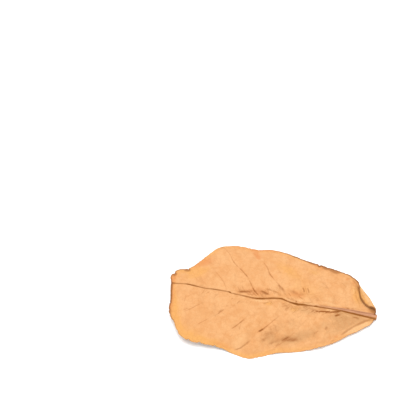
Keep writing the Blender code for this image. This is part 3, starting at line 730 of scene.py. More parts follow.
def vein_lines(rows, half, flat):
    """For each point of a half: the distance in the blade from the nearest side vein of that half, less
    than nothing on its tip side, how plainly the vein shows on the upper face, and how strong its ridge
    is below. A vein is the row that starts at it, wandering to both sides as a sine, and the distance is
    taken square to it."""
    starts = vein_starts(half)
    distance = np.full(flat.shape[:2], FAR_OFF)
    shows = np.zeros(flat.shape[:2])
    nearest = np.abs(rows[:, None] - starts).argmin(axis=1)
    outwards = np.concatenate([BLADE_COLUMNS, 1 + STRIP_SHARE * half["curl_columns"]])
    for place, (start, _, strengths) in enumerate(half["veins"]):
        crest = np.abs(rows - start * MM).argmin()
        along = np.gradient(flat[crest], axis=0)
        along /= np.maximum(sizes_of(along), 1e-9)[:, None]
        of_vein = nearest == place
        away = flat[of_vein] - flat[crest]
        distance[of_vein] = half["side"] * (along[:, 1] * away[..., 0] - along[:, 0] * away[..., 1])
        reach = sizes_of(flat[crest] - flat[crest, :1])
        distance[of_vein] -= (-1) ** place * half["wander"] * np.sin(2 * np.pi * reach / VEIN_WAVE)
        shows[of_vein] = np.interp(outwards, *np.array(strengths).T)
    ridge = np.broadcast_to(1 - VEIN_THINNED * np.minimum(outwards, 1), shows.shape)
    return distance, shows, ridge


def line_field(x, y, lines):
    """For each place in plan, the distance from the nearest of the lines as a share of its width, less
    than nothing on its right side, its strength there, and the height that the lines give the blade. A
    line's strength fades towards its two ends and away from it, and its height is a narrow groove with a
    ridge behind it."""
    nearest = np.full(x.shape, FAR_OFF)
    distance = np.full(x.shape, WIDTHS_OFF)
    strength = np.zeros(x.shape)
    height = np.zeros(x.shape)
    for points, width, depth, dark in lines:
        points, width, depth = MM * np.array(points), width * MM, depth * MM
        steps = np.diff(points, axis=0)
        lengths = sizes_of(steps)
        total = lengths.sum()
        best = np.full(x.shape, FAR_OFF)
        signed = np.full(x.shape, FAR_OFF)
        place = np.zeros(x.shape)
        for start, step, length, before in zip(points, steps, lengths, np.cumsum(lengths) - lengths):
            along = ((x - start[0]) * step[0] + (y - start[1]) * step[1]) / length
            across = ((y - start[1]) * step[0] - (x - start[0]) * step[1]) / length
            inside = np.clip(along, 0, length)
            away = np.hypot(along - inside, across)
            closer = away < best
            best = np.where(closer, away, best)
            signed = np.where(closer, across, signed)
            place = np.where(closer, before + along, place)
        fading = min(CREASE_FADE_SHARE * total, CREASE_FADE)
        fade = np.clip(np.minimum(place, total - place) / fading + CREASE_END_LEFT, 0, 1)
        fade *= np.clip((CREASE_REACH - best) / (CREASE_REACH_FADE * CREASE_REACH), 0, 1)
        nearer = (fade > 0) & (best < nearest)
        nearest = np.where(nearer, best, nearest)
        strength = np.where(nearer, dark * fade, strength)
        distance = np.where(nearer, signed / width, distance)
        groove = bell(signed, width)
        ridge = CREASE_BACK * bell(signed - CREASE_BACK_AWAY * width, width)
        height += depth * fade * (ridge - groove)
    return distance, strength, height


def fine_lines():
    """The fine wrinkles beside the midrib and the scratches on the blade: short bent lines of random
    place, length and strength. A wrinkle points outwards and to the tip, within a fan."""
    random = np.random.default_rng(SEEDS["lines"])
    lines = []
    for (first, last), side, count, lengths in WRINKLES:
        for _ in range(count):
            x = random.uniform(first, last)
            y = midrib(MIDRIB_BEND, x * MM) / MM + side * (random.uniform(*WRINKLE_AWAY) + RIB_HALF)
            turn = np.radians(random.uniform(*WRINKLE_TURN))
            lines.append(short_line(random, x, y, turn, side, random.uniform(*lengths), 1.0))
    for _ in range(SCRATCHES):
        x = random.uniform(*SCRATCH_AT)
        side = random.choice([-1, 1])
        y = side * random.uniform(*SCRATCH_SHARE) * half_width(x)
        turn = np.radians(random.normal(*SCRATCH_TURN))
        length = random.uniform(*SCRATCH_LENGTH)
        lines.append(short_line(random, x, y, turn, side, length, SCRATCH_STRENGTH))
    return lines


def half_width(x):
    """About how far the blade reaches from the midrib, in millimetres: a sine to a power."""
    start, end = HALF_WIDTH_ENDS
    return HALF_WIDTH * np.sin(np.pi * np.clip((x - start) / (end - start), 0, 1)) ** HALF_WIDTH_POWER


def short_line(random, x, y, turn, side, length, strength):
    """A bent line of three points from x and y, with random width, depth and darkness."""
    bent = turn + random.uniform(-SHORT_BEND, SHORT_BEND)
    middle = (x + length / 2 * np.cos(turn), y + side * length / 2 * np.sin(turn))
    end = (middle[0] + length / 2 * np.cos(bent), middle[1] + side * length / 2 * np.sin(bent))
    width, depth = random.uniform(*SHORT_WIDTH), random.uniform(*SHORT_DEPTH)
    return ((x, y), middle, end), width, strength * depth, strength * random.uniform(*SHORT_DARK)


def ripples(x, y):
    """Short random waves of the blade, the longer the higher."""
    random = np.random.default_rng(SEEDS["ripples"])
    height = np.zeros_like(x)
    for _ in range(RIPPLES):
        length = random.uniform(*RIPPLE_LENGTHS)
        turn, phase = random.uniform(0, np.pi), random.random()
        along = x * np.cos(turn) + y * np.sin(turn)
        height += RIPPLE_RISE * length * sine(along / length + phase)
    return height


def dark_line(x):
    """How far across the leaf the dark line beside the midrib runs."""
    return np.interp(x, LINE_COURSE[:, 0], LINE_COURSE[:, 1])


def rib_relief(x, y):
    """What the midrib adds to the upper face beside its own crest, each a bell: a groove at its far edge,
    the dark line's groove with the ridge behind it, and the knots."""
    aside = y - midrib(MIDRIB_BEND, x) - midrib(MIDRIB_WIDTH, x) / 2
    from_line = y - dark_line(x)
    height = midrib(LINE_BACK, x) * bell(from_line - LINE_BACK_AWAY, LINE_BACK_WIDTH)
    height -= midrib(LINE_GROOVE, x) * bell(from_line, RIB_GROOVE_WIDTH)
    height -= midrib(FAR_RIB_GROOVE, x) * bell(aside, RIB_GROOVE_WIDTH)
    for knot_x, knot_y, radius, rise in KNOTS:
        height += MM * rise * hollow(x, y, (knot_x, knot_y, radius, radius), 0)
    return height


def point_normals(grid):
    """The direction in which the grid's surface faces at each point: the cross product of its two ways."""
    facing = np.cross(np.gradient(grid, axis=0), np.gradient(grid, axis=1))
    return facing / np.maximum(sizes_of(facing), 1e-15)[..., None]


def at_shares(values, shares):
    """A table of values at even shares of a fold line, read at other shares."""
    return np.interp(shares, np.linspace(0, 1, len(values)), values)


def leaf_grid(sizes):
    """The whole lower face from the near margin to the far one, what is added below and above it, the
    index of each grid point, the outline, the points rolled out flat, and the values that the colours
    follow."""
    rows = row_starts()
    places = rows.copy()
    places[-1] = STALK_END
    width = midrib(MIDRIB_WIDTH, places)[:, None]
    rib_y = midrib(MIDRIB_BEND, places)[:, None] + RIB_ACROSS * width / 2
    rib = np.dstack(np.broadcast_arrays(places[:, None], rib_y, midrib(MIDRIB_HEIGHT, places)[:, None]))
    rib[-1, :, 0] += STALK_SLANT * RIB_ACROSS
    keel = midrib(KEEL_DEPTH, places)[:, None] * np.sqrt(1 - RIB_ACROSS**2)
    crest = midrib(MIDRIB_RISE, places)[:, None] * (1 - RIB_ACROSS**2) ** CREST_POWER

    halves = []
    for half in (NEAR_HALF, FAR_HALF):
        points, flat, shares = half_blade(rows, half)
        distance, shows, ridge = vein_lines(rows, half, flat)
        golden, browned = (
            np.broadcast_to(at_shares(half[kind], shares)[:, None], shows.shape) for kind in ("gold", "brown")
        )
        halves.append((points, flat, distance, shows, ridge, golden, browned))
    on_rib = [rib, rib[..., :2], np.full(rib.shape[:2], FAR_OFF)] + [np.zeros(rib.shape[:2])] * 4
    joined = [
        np.concatenate([near[:, ::-1], middle, far], axis=1)
        for near, middle, far in zip(halves[0], on_rib, halves[1])
    ]
    grid, flat, vein_distance, vein_shows, ridge, golden, browned = joined

    x, y = grid[..., 0], grid[..., 1]
    crease_distance, crease_strength, crease_height = line_field(x, y, list(CREASES) + fine_lines())
    aside = y - midrib(MIDRIB_BEND, x)
    off_rib = np.clip((np.abs(aside) - midrib(MIDRIB_WIDTH, x) / 2) / RIB_FADE, 0, 1)
    first = halves[0][0].shape[1]
    last = first + len(RIB_ACROSS) - 1
    index = np.arange(grid.shape[0] * grid.shape[1]).reshape(grid.shape[:2])
    for end in (0, -1):
        index[end, :first] = index[end, first]
        index[end, last + 1 :] = index[end, last]
    rim = rim_of(index, first, last)
    margin = margin_distance(flat, flat.reshape(-1, 2)[rim])
    inside = np.clip(margin / MARGIN_FADE, 0, 1)
    creased = np.clip(off_rib + CREASE_ON_RIB, 0, 1) * crease_height
    grid[..., 2] += off_rib * inside * ripples(x, y) + creased
    grid[..., 2] = np.maximum(grid[..., 2], 0)

    line = bell(vein_distance, VEIN_LINE)
    below = sizes.vein_ridge * ridge * bell(vein_distance, VEIN_RIDGE_WIDTH)
    deep = VEIN_HIDDEN + (1 - VEIN_HIDDEN) * vein_shows
    above = rib_relief(x, y) - sizes.vein_groove * deep * line * (ridge > 0)
    below[:, first : last + 1] = keel
    above[:, first : last + 1] += crest

    line_at, line_width, line_dark = LINE_LOOKS.T
    fields = {
        "vein_distance": vein_distance / MM,
        "vein_shows": vein_shows,
        "crease_distance": crease_distance,
        "crease_shows": crease_strength,
        "margin_distance": margin / MM,
        "gold_margin": golden,
        "brown_edge": browned,
        "rib_across": np.clip(aside / (midrib(MIDRIB_WIDTH, x) / 2), -ACROSS_LIMIT, ACROSS_LIMIT),
        "rib_line": (y - dark_line(x)) / np.interp(x, MM * line_at, MM * line_width),
        "rib_dark": np.interp(x, MM * line_at, line_dark),
        "along": x / STALK_END,
    }
    for kind, spots in PATCHES.items():
        fields[kind] = patches(x, y, spots)
    return grid, below, above, index, rim, flat, fields


def patches(x, y, spots):
    """The sum of coloured patches, each a bell."""
    shade = np.zeros_like(x)
    for *size, direction, strength in spots:
        shade += strength * hollow(x, y, size, direction)
    return shade


def rim_of(index, first, last):
    """The leaf's outline as grid points in order: the near margin to the stalk, across the cut midrib,
    the far margin back to the tip, and across the tip."""
    ways = [index[:, 0], index[-1, first : last + 1], index[::-1, -1], index[0, first : last + 1][::-1]]
    rim = np.concatenate(ways)
    return rim[rim != np.roll(rim, 1)]


def margin_distance(flat, rim):
    """How far each point of the blade, rolled out flat, is from the outline."""
    following = np.roll(rim, -1, axis=0)
    shares = np.arange(RIM_PIECES)[:, None, None] / RIM_PIECES
    outline = (rim + (following - rim) * shares).reshape(-1, 2)
    square = (outline**2).sum(axis=1)
    distance = np.empty(flat.shape[:2])
    for row, points in enumerate(flat):
        apart = (points**2).sum(axis=1)[:, None] - 2 * points @ outline.T + square
        distance[row] = np.sqrt(np.maximum(apart.min(axis=1), 0))
    return distance


def grid_triangles(grid, index):
    """Each cell of the grid split along its shorter diagonal, without the triangles that the drawn-together
    ends leave flat."""
    a, b = index[:-1, :-1].ravel(), index[1:, :-1].ravel()
    c, d = index[1:, 1:].ravel(), index[:-1, 1:].ravel()
    points = grid.reshape(-1, 3)
    a_to_c = sizes_of(points[c] - points[a]) < sizes_of(points[d] - points[b])
    first = np.where(a_to_c[:, None], np.stack([a, b, c], axis=1), np.stack([a, b, d], axis=1))
    second = np.where(a_to_c[:, None], np.stack([a, c, d], axis=1), np.stack([b, c, d], axis=1))
    faces = np.concatenate([first, second])
    whole = (faces[:, 0] != faces[:, 1]) & (faces[:, 1] != faces[:, 2]) & (faces[:, 0] != faces[:, 2])
    return faces[whole]


def leaf_mesh(sizes):
    """The closed leaf: the upper face, the lower face split alike, and the wall between them along the
    outline. The faces of each kind have their own material."""
    grid, below, above, index, rim, flat, fields = leaf_grid(sizes)
    faces = grid_triangles(grid, index)
    normals = point_normals(grid)
    lower = grid - normals * below[..., None]
    lower[..., 2] = np.maximum(lower[..., 2], 0)
    upper = grid + normals * (sizes.blade_thickness + above)[..., None]
    used, compact = np.unique(faces, return_inverse=True)
    faces = compact.reshape(-1, 3)
    start = np.searchsorted(used, rim)
    end = np.roll(start, -1)
    count = len(used)
    wall = np.concatenate(
        [np.stack([end, start, start + count], axis=1), np.stack([end, start + count, end + count], axis=1)]
    )
    points = np.concatenate([upper.reshape(-1, 3)[used], lower.reshape(-1, 3)[used]])
    points[:, :2] -= LEAF_MIDDLE
    values = {name: np.tile(field.ravel()[used], 2) for name, field in fields.items()}

    mesh = bpy.data.meshes.new("leaf_blade")
    triangles = np.concatenate([faces, faces[:, ::-1] + count, wall])
    mesh.vertices.add(len(points))
    mesh.vertices.foreach_set("co", points.astype(np.float32).ravel())
    mesh.loops.add(triangles.size)
    mesh.loops.foreach_set("vertex_index", triangles.astype(np.int32).ravel())
    mesh.polygons.add(len(triangles))
    mesh.polygons.foreach_set("loop_start", np.arange(0, triangles.size, 3, dtype=np.int32))
    kinds = np.repeat([0, 1, 2], [len(faces), len(faces), len(wall)]).astype(np.int32)
    mesh.polygons.foreach_set("material_index", kinds)
    mesh.update(calc_edges=True)
    mesh.validate()
    for name, value in values.items():
        attribute = mesh.attributes.new(name, "FLOAT", "POINT")
        attribute.data.foreach_set("value", value.astype(np.float32))
    lay_out(mesh, flat.reshape(-1, 2)[used], faces, points[start])
    mesh.shade_smooth()
    mesh.set_sharp_from_angle(angle=np.radians(SHARP_ANGLE))
    return mesh


def lay_out(mesh, flat, faces, rim_points):
    """The map for baked pictures: the two faces of the blade rolled out one above the other, and the wall
    along the outline as a strip beside them."""
    placed = (flat - flat.min(axis=0)) / MAP_SPAN
    upper_face, lower_face = placed + MAP_UPPER, placed + MAP_LOWER
    steps = sizes_of(np.roll(rim_points, -1, axis=0) - rim_points)
    ends = np.cumsum(steps) / steps.sum()
    begins = ends - steps / steps.sum()
    begins, ends = MAP_STRIP_START + MAP_STRIP_LENGTH * begins, MAP_STRIP_START + MAP_STRIP_LENGTH * ends
    top, bottom = [np.full_like(begins, across) for across in MAP_STRIP]
    first = np.stack([top, ends, top, begins, bottom, begins], axis=1).reshape(-1, 2)
    second = np.stack([top, ends, bottom, begins, bottom, ends], axis=1).reshape(-1, 2)
    corners = [upper_face[faces].reshape(-1, 2), lower_face[faces[:, ::-1]].reshape(-1, 2), first, second]
    layer = mesh.uv_layers.new(name="OFBake")
    layer.uv.foreach_set("vector", np.concatenate(corners).astype(np.float32).ravel())


class Signal:
    """A socket that carries a number, a vector or a colour of a material. An expression on signals adds
    its Math nodes."""

    def __init__(self, tree, socket=None):
        self.tree = tree
        self.socket = socket

    def node(self, kind, settings=None, sockets=None, output=0):
        """A node of that kind, with its settings set first, and then the values or links of its sockets."""
        node = self.tree.nodes.new(kind)
        for name, value in (settings or {}).items():
            setattr(node, name, value)
        feed(node, sockets or {})
        return Signal(self.tree, node.outputs[output])

    def maths(self, operation, first, second=0.0):
        """A Math node on two numbers or signals."""
        return self.node("ShaderNodeMath", {"operation": operation}, {0: first, 1: second})

    def __add__(self, other):
        return self.maths("ADD", self, other)

    __radd__ = __add__

    def __sub__(self, other):
        return self.maths("SUBTRACT", self, other)

    def __rsub__(self, other):
        return self.maths("SUBTRACT", other, self)

    def __mul__(self, other):
        return self.maths("MULTIPLY", self, other)

    __rmul__ = __mul__

    def __abs__(self):
        return self.maths("ABSOLUTE", self)

    def attribute(self, name):
        """The value that the mesh holds under that name."""
        return self.node("ShaderNodeAttribute", {"attribute_name": name}, output="Fac")

    def smooth(self, low, high):
        """0 below low, 1 above high, and an S between them."""
        ends = {"Value": self, "From Min": low, "From Max": high}
        return self.node("ShaderNodeMapRange", {"interpolation_type": "SMOOTHSTEP"}, ends)

    def fade(self, low, high):
        """1 below low, 0 above high, and an S between them."""
        return 1 - self.smooth(low, high)

    def mix(self, share, first, second):
        """The first colour where the share is 0 and the second where it is 1."""
        sockets = {0: share, 6: first, 7: second}
        return self.node("ShaderNodeMix", {"data_type": "RGBA"}, sockets, output=2)

    def tinted(self, share, tint):
        """This colour, with the tint over it by that share."""
        return self.mix(share, self, tint)

    def bumped(self, strength, distance):
        """The normal of a surface with this height."""
        sockets = {"Strength": strength, "Distance": distance, "Height": self}
        return self.node("ShaderNodeBump", None, sockets)

    def shifted(self, kind, noise):
        """How large this distance is, with the noise shifting it by what that kind of line is given."""
        return abs(self + SHIFTS[kind] * (noise - 0.5))

    def parted(self, even, uneven):
        """The even part, and this noise times the uneven one."""
        return even + uneven * self

    def noise(self, size, detail, roughness):
        """Cloudy noise at this place, with features of about that size."""
        sockets = {"Vector": self, "Scale": 1 / size, "Detail": detail, "Roughness": roughness}
        return self.node("ShaderNodeTexNoise", {"noise_dimensions": "3D"}, sockets)

    def net(self, size):
        """The distance from the walls of cells of about that size round this place, as a share of it."""
        sockets = {"Vector": self, "Scale": 1 / size}
        return self.node("ShaderNodeTexVoronoi", {"feature": "DISTANCE_TO_EDGE"}, sockets)

    def stretched(self, shares):
        """This place, each of its numbers times its share."""
        return self.node("ShaderNodeVectorMath", {"operation": "MULTIPLY"}, {0: self, 1: shares})

    def shaken(self, size, by):
        """This place, moved about by noise of that size."""
        settings = {"noise_dimensions": "3D"}
        sockets = {"Vector": self, "Scale": 1 / size, "Detail": 2.0}
        drift = self.node("ShaderNodeTexNoise", settings, sockets, output="Color")
        centred = self.node("ShaderNodeVectorMath", {"operation": "SUBTRACT"}, {0: drift, 1: (0.5, 0.5, 0.5)})
        scaled = self.node("ShaderNodeVectorMath", {"operation": "SCALE"}, {0: centred, "Scale": by})
        return self.node("ShaderNodeVectorMath", {"operation": "ADD"}, {0: self, 1: scaled})


def feed(node, sockets):
    """Sets the values of a node's sockets, and links those that a signal feeds."""
    for name, value in sockets.items():
        if isinstance(value, Signal):
            value.tree.links.new(value.socket, node.inputs[name])
        else:
            node.inputs[name].default_value = value


def new_material(name):
    """A material and its principled shader."""
    material = bpy.data.materials.new(name)
    material.use_nodes = True
    return material, material.node_tree.nodes["Principled BSDF"]


def place_on(material):
    """The place on the surface of a piece with this material."""
    return Signal(material.node_tree).node("ShaderNodeTexCoord", output="Object")


def patched(colour, kind, broken, tint, more=None):
    """The colour with the patches of a kind over it, broken up by noise, and with what adds to them."""
    most, even, uneven, low, high = SHOWS[kind]
    shows = colour.attribute(kind) * broken.parted(even, uneven)
    if more is not None:
        shows = more + shows
    return colour.tinted(most * shows.smooth(low, high), tint)


def marked(colour, kind, value, tint, shows=None):
    """The colour with a kind of mark over it, which comes in with the value, weakened where it shows less."""
    most, *ends = MARKS[kind]
    mark = value.smooth(*ends)
    if shows is not None:
        mark = mark * shows
    return colour.tinted(most * mark, tint)


def blade_colour(noise, net, colours, under):
    """The blade without its veins. The tan is mottled by noise of two sizes. Over it come the gold, also all
    along the margin, then the reddish, the dull and the pale patches, reddish flecks, the net of fine veins,
    brown specks and stains, and on the upper face the painted shadow under the flap. Some of the patches are
    painted shade or highlight, as noted at PATCHES."""
    cloud, blotch, broken = noise["cloud"], noise["blotch"], noise["broken"]
    field = cloud.attribute
    shade = 0.5 * cloud + 0.5 * blotch
    colour = cloud.mix(shade.smooth(*TURNS["mottling"]), colours.blade, colours.blade_light)
    if under:
        colour = colour.tinted(UNDER_MOST, colours.under)
    golden = field("margin_distance").fade(*GOLD_REACH) * field("gold_margin")
    golden = golden * blotch.parted(*PARTS["gold_margin"])
    colour = patched(colour, "gold", broken, colours.gold, golden)
    for kind in ("blush", "olive", "pale"):
        colour = patched(colour, kind, broken, getattr(colours, kind))
    colour = marked(colour, "fleck", noise["fleck"], colours.blush).tinted(net, colours.vein)
    colour = marked(colour, "speck", noise["grain"], colours.stain, broken.smooth(*TURNS["speck"]))
    colour = patched(colour, "stain", broken, colours.stain)
    if not under:
        # Painted shadow under the flap's free edge, in the brown of the stains.
        colour = marked(colour, "under_flap", field("under_flap"), colours.stain)
    return colour


def lined(colour, kind, distance, shows, tint):
    """The colour with a kind of line over it, which fades with the distance and shows so strongly."""
    most, *ends = MARKS[kind]
    return colour.tinted(most * (distance.fade(*ends) * shows), tint)


def veined(colour, vein_line, noise, colours):
    """The colour with the side veins, each a line in a reddish halo, and with the creases, whose darkening is
    partly painted shade in their grooves.
    """
    field = colour.attribute
    from_vein = field("vein_distance").shifted("vein", noise["blotch"])
    colour = lined(colour, "halo", from_vein, field("vein_shows"), colours.blush)
    colour = colour.tinted(VEIN_MOST * vein_line, colours.vein)
    from_crease = field("crease_distance").shifted("crease", noise["broken"])
    return lined(colour, "crease", from_crease, field("crease_shows"), colours.vein)


def vein_mark(noise):
    """How strongly the line of a side vein shows, wider where it is plain and broken up by noise."""
    blotch = noise["blotch"]
    shows = blotch.attribute("vein_shows")
    distance = blotch.attribute("vein_distance").shifted("vein", blotch)
    line = distance.fade(VEIN_START, VEIN_REACH + VEIN_PLAIN * shows) * shows
    return line * noise["broken"].smooth(*TURNS["vein"])


def ribbed(colour, place, noise, colours):
    """The colour with the midrib, which is streaked and comes out towards the stalk, the brown of its far
    edge, and the dark line beside it, which is partly painted shade."""
    field = colour.attribute
    across, along = field("rib_across"), field("along")
    on_rib = abs(across - RIB_MOVED * along.smooth(*RIB_MOVES)).fade(*RIB_FLANK)
    comes = along.smooth(*RIB_COMES)
    streak = place.stretched((STREAK_ALONG, 1, 1)).noise(*STREAK)
    rib = place.mix(streak.smooth(*TURNS["streak"]), colours.rib, colours.rib_light)
    colour = colour.tinted(on_rib * comes.parted(RIB_BEFORE, 1 - RIB_BEFORE), rib)
    colour = lined(colour, "rib_edge", abs(across - RIB_EDGE), comes, colours.rib_line)
    from_line = field("rib_line").shifted("rib_line", noise["broken"])
    return lined(colour, "rib_line", from_line, field("rib_dark"), colours.rib_line)


def edged(colour, noise, tint):
    """The colour with the brown edge, which is broken up by noise. Along the far margin the brown is partly
    painted shadow.
    """
    browned = colour.attribute("brown_edge")
    near = colour.attribute("margin_distance").fade(BROWN_START, BROWN_REACH + BROWN_MORE * browned)
    shows = near * browned * noise["broken"].parted(*PARTS["brown_edge"])
    return colour.tinted(shows.smooth(*BROWN_ENDS), tint)


def leaf_material(name, colours, under):
    """The dry blade, with the colours of its face, and bumps from grain, mottling, net and side veins. The
    net and the veins lie deep in the upper face, and the net stands out from the lower one."""
    material, surface = new_material(name)
    place = place_on(material)
    noise = {kind: place.noise(*looks) for kind, looks in NOISES.items()}
    shaken = place.shaken(*NET_SHAKE)
    coarse_line = shaken.net(COARSE_NET).fade(0.0, COARSE_WIDTH)
    fine_line = shaken.net(FINE_NET).fade(0.0, FINE_WIDTH)
    net = (COARSE_DARK * coarse_line + FINE_DARK * fine_line) * noise["cloud"].parted(*PARTS["net"])
    if under:
        net = net * NET_BELOW
    vein_line = vein_mark(noise)

    colour = veined(blade_colour(noise, net, colours, under), vein_line, noise, colours)
    colour = edged(ribbed(colour, place, noise, colours), noise, colours.edge)
    fine, coarse, vein = LOWER_RELIEF if under else UPPER_RELIEF
    height = 0.5 * noise["grain"] + 0.5 * noise["blotch"]
    height = height + fine * fine_line + coarse * coarse_line + vein * vein_line
    looks = {
        "Base Color": colour,
        "Roughness": noise["blotch"].parted(*PARTS["roughness"]),
        "Normal": height.bumped(*BLADE_BUMPS),
        "Specular IOR Level": BLADE_SPECULAR,
    }
    feed(surface, looks)
    return material


def edge_material(name, colours):
    """The torn edge of the blade and the cut end of the midrib: brown, with darker fibres."""
    material, surface = new_material(name)
    fibres = place_on(material).noise(*EDGE_FIBRES)
    looks = {
        "Base Color": fibres.mix(fibres.smooth(*TURNS["fibre"]), colours.edge, colours.stain),
        "Normal": fibres.bumped(*EDGE_BUMPS),
        "Roughness": EDGE_ROUGHNESS,
    }
    feed(surface, looks)
    return material


def plain_material(name, colour, roughness):
    """A finish of one colour."""
    material, surface = new_material(name)
    feed(surface, {"Base Color": colour, "Roughness": roughness})
    return material


def amount_property(name, description, default, unit="NONE"):
    """A number from nothing upwards that a user can change."""
    return bpy.props.FloatProperty(
        name=name, description=description, default=default, min=0.0, unit=unit, precision=5
    )


def length_property(name, description, default):
    """A length that a user can change."""
    return amount_property(name, description, default, "LENGTH")


def colour_property(name, description, default):
    """A colour that a user can change."""
    return bpy.props.FloatVectorProperty(
        name=name, description=description, default=(*default, 1.0), size=4, min=0.0, max=1.0, subtype="COLOR"
    )


class LeafSizes(bpy.types.PropertyGroup):
    """The sizes of the leaf that can change without moving its outline."""

    blade_thickness: length_property("Blade thickness", "How thick the dry blade is", 0.35 * MM)
    vein_ridge: length_property("Vein ridge", "How far the side veins stand out below the blade", 0.6 * MM)
    vein_groove: length_property("Vein groove", "How deep the side veins lie in the upper face", 0.22 * MM)


class LeafColours(bpy.types.PropertyGroup):
    """The colours of the dry leaf."""

    blade: colour_property("Blade", "The deeper tan of the blade", (0.543, 0.263, 0.100))
    blade_light: colour_property("Light blade", "The lighter tan of the blade", (0.603, 0.324, 0.141))
    under: colour_property("Underside", "The lower face of the blade", (0.55, 0.32, 0.136))
    gold: colour_property("Gold", "The golden margin", (0.59, 0.29, 0.080))
    blush: colour_property("Blush", "The reddish places", (0.53, 0.205, 0.066))
    olive: colour_property("Olive", "The dull places beside the stalk", (0.415, 0.218, 0.088))
    # The pale colour is partly painted highlight, on the ridge beside the midrib and on a slope of the near
    # half.
    pale: colour_property("Pale", "The worn ridges and the pale rim", (0.65, 0.385, 0.18))
    # The stain colour also paints the shade beside the flap's edge and along the midrib's near side.
    stain: colour_property("Stain", "The brown spots", (0.29, 0.11, 0.03))
    vein: colour_property("Vein", "The side veins and the creases", (0.25, 0.082, 0.014))
    rib: colour_property("Rib", "The raised midrib", (0.375, 0.175, 0.092))
    rib_light: colour_property("Light rib", "The streaks of the raised midrib", (0.46, 0.228, 0.126))
    # The dark line beside the midrib is partly painted shade.
    rib_line: colour_property("Rib line", "The dark line beside the midrib", (0.22, 0.072, 0.008))
    # Along the far margin the brown edge is partly painted shadow.
    edge: colour_property("Edge", "The brown edge", (0.22, 0.08, 0.020))


class StageSettings(bpy.types.PropertyGroup):
    """The floor and the light."""

    floor_size: length_property("Floor size", "How wide the floor is", 8.0)
    floor_colour: colour_property("Floor", "The colour of the floor", (0.92, 0.92, 0.92))
    key_power: amount_property("Key light", "The power of the large light above the leaf", 41.0)
    front_power: amount_property("Front light", "The power of the low light in front", 16.0)
    fill_strength: amount_property("Fill", "The strength of the even light from all round", 1.0)


class LEAF_OT_make_leaf(bpy.types.Operator):
    """Makes the leaf, which stands for the part's own solid"""

    bl_idname = "almond_leaf.make_leaf"
    bl_label = "Leaf"

    def execute(self, context):
        colours = context.scene.leaf_colours
        mesh = leaf_mesh(context.scene.leaf_sizes)
        mesh.materials.append(leaf_material("leaf_upper_face", colours, under=False))
        mesh.materials.append(leaf_material("leaf_lower_face", colours, under=True))
        mesh.materials.append(edge_material("leaf_edge", colours))
        piece = bpy.data.objects.new("leaf_blade", mesh)
        context.scene.collection.objects.link(piece)
        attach(piece, "root")
        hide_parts("leaf")
        return {"FINISHED"}


class LEAF_OT_set_stage(bpy.types.Operator):
    """Lays the pale floor and sets up the soft light and the camera"""

    bl_idname = "almond_leaf.set_stage"
    bl_label = "Stage"

    def execute(self, context):
        settings = context.scene.leaf_stage
        lay_floor(context.scene, settings)
        set_light(context.scene, settings)
        set_camera(context.scene)
        context.scene.view_settings.view_transform = "Standard"
        return {"FINISHED"}


def lay_floor(scene, settings):
    """The floor: a square on which the leaf lies."""
    half = settings.floor_size / 2
    corners = [(-half, -half, 0), (half, -half, 0), (half, half, 0), (-half, half, 0)]
    mesh = bpy.data.meshes.new("floor")
    mesh.from_pydata(corners, [], [(0, 1, 2, 3)])
    mesh.materials.append(plain_material("floor_white", settings.floor_colour, FLOOR_ROUGHNESS))
    floor = bpy.data.objects.new("floor", mesh)
    scene.collection.objects.link(floor)


def set_light(scene, settings):
    """A large light above and behind the leaf, a low one in front, and even white light from all round."""
    for name, (size, place), power in (
        ("key", KEY_LIGHT, settings.key_power),
        ("front", FRONT_LIGHT, settings.front_power),
    ):
        lamp = bpy.data.lights.new(name, "AREA")
        lamp.shape = "DISK"
        lamp.size = size
        lamp.energy = power
        light = bpy.data.objects.new(name, lamp)
        light.location = place
        light.rotation_euler = aimed(place, (0, 0, 0))
        scene.collection.objects.link(light)
    world = bpy.data.worlds.new("even_light")
    world.use_nodes = True
    background = world.node_tree.nodes["Background"]
    background.inputs["Color"].default_value = (1, 1, 1, 1)
    background.inputs["Strength"].default_value = settings.fill_strength
    scene.world = world


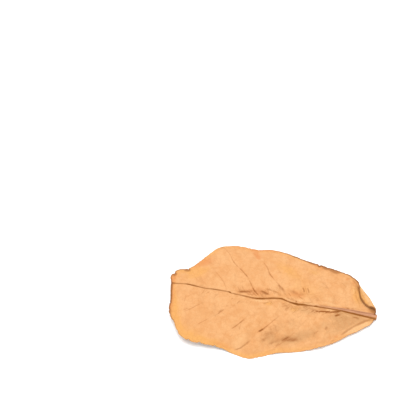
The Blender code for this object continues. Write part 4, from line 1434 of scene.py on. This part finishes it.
def aimed(place, target):
    """The turn that points a light or a camera from its place at the target."""
    away = Vector(target) - Vector(place)
    return away.to_track_quat("-Z", "Y").to_euler()


def set_camera(scene):
    """The camera on a sphere round the point that it looks at."""
    turn, rise = np.radians(VIEW_TURN), np.radians(VIEW_ELEVATION)
    back = np.array([np.sin(turn) * np.cos(rise), -np.cos(turn) * np.cos(rise), np.sin(rise)])
    lens = bpy.data.cameras.new("camera")
    lens.lens = VIEW_LENS
    lens.sensor_width = SENSOR
    camera = bpy.data.objects.new("camera", lens)
    camera.location = np.array(VIEW_AT) + VIEW_DISTANCE * back
    camera.rotation_euler = aimed(camera.location, VIEW_AT)
    scene.collection.objects.link(camera)
    scene.camera = camera


class LEAF_PT_panel(bpy.types.Panel):
    """Lists the pieces and their settings"""

    bl_label = "Dried Almond Leaf"
    bl_idname = "LEAF_PT_panel"
    bl_space_type = "VIEW_3D"
    bl_region_type = "UI"
    bl_category = "Leaf"

    def draw(self, context):
        layout = self.layout
        for group, operator in (
            (context.scene.leaf_sizes, None),
            (context.scene.leaf_colours, LEAF_OT_make_leaf),
            (context.scene.leaf_stage, LEAF_OT_set_stage),
        ):
            for name in group.__annotations__:
                layout.prop(group, name)
            if operator:
                layout.operator(operator.bl_idname)


CLASSES = (LeafSizes, LeafColours, StageSettings, LEAF_OT_make_leaf, LEAF_OT_set_stage, LEAF_PT_panel)


def register():
    for part in CLASSES:
        bpy.utils.register_class(part)
    bpy.types.Scene.leaf_sizes = bpy.props.PointerProperty(type=LeafSizes)
    bpy.types.Scene.leaf_colours = bpy.props.PointerProperty(type=LeafColours)
    bpy.types.Scene.leaf_stage = bpy.props.PointerProperty(type=StageSettings)


def unregister():
    del bpy.types.Scene.leaf_stage
    del bpy.types.Scene.leaf_colours
    del bpy.types.Scene.leaf_sizes
    for part in reversed(CLASSES):
        bpy.utils.unregister_class(part)


def main():
    register()
    bpy.ops.almond_leaf.make_leaf()
    bpy.ops.almond_leaf.set_stage()


if __name__ == "__main__":
    main()
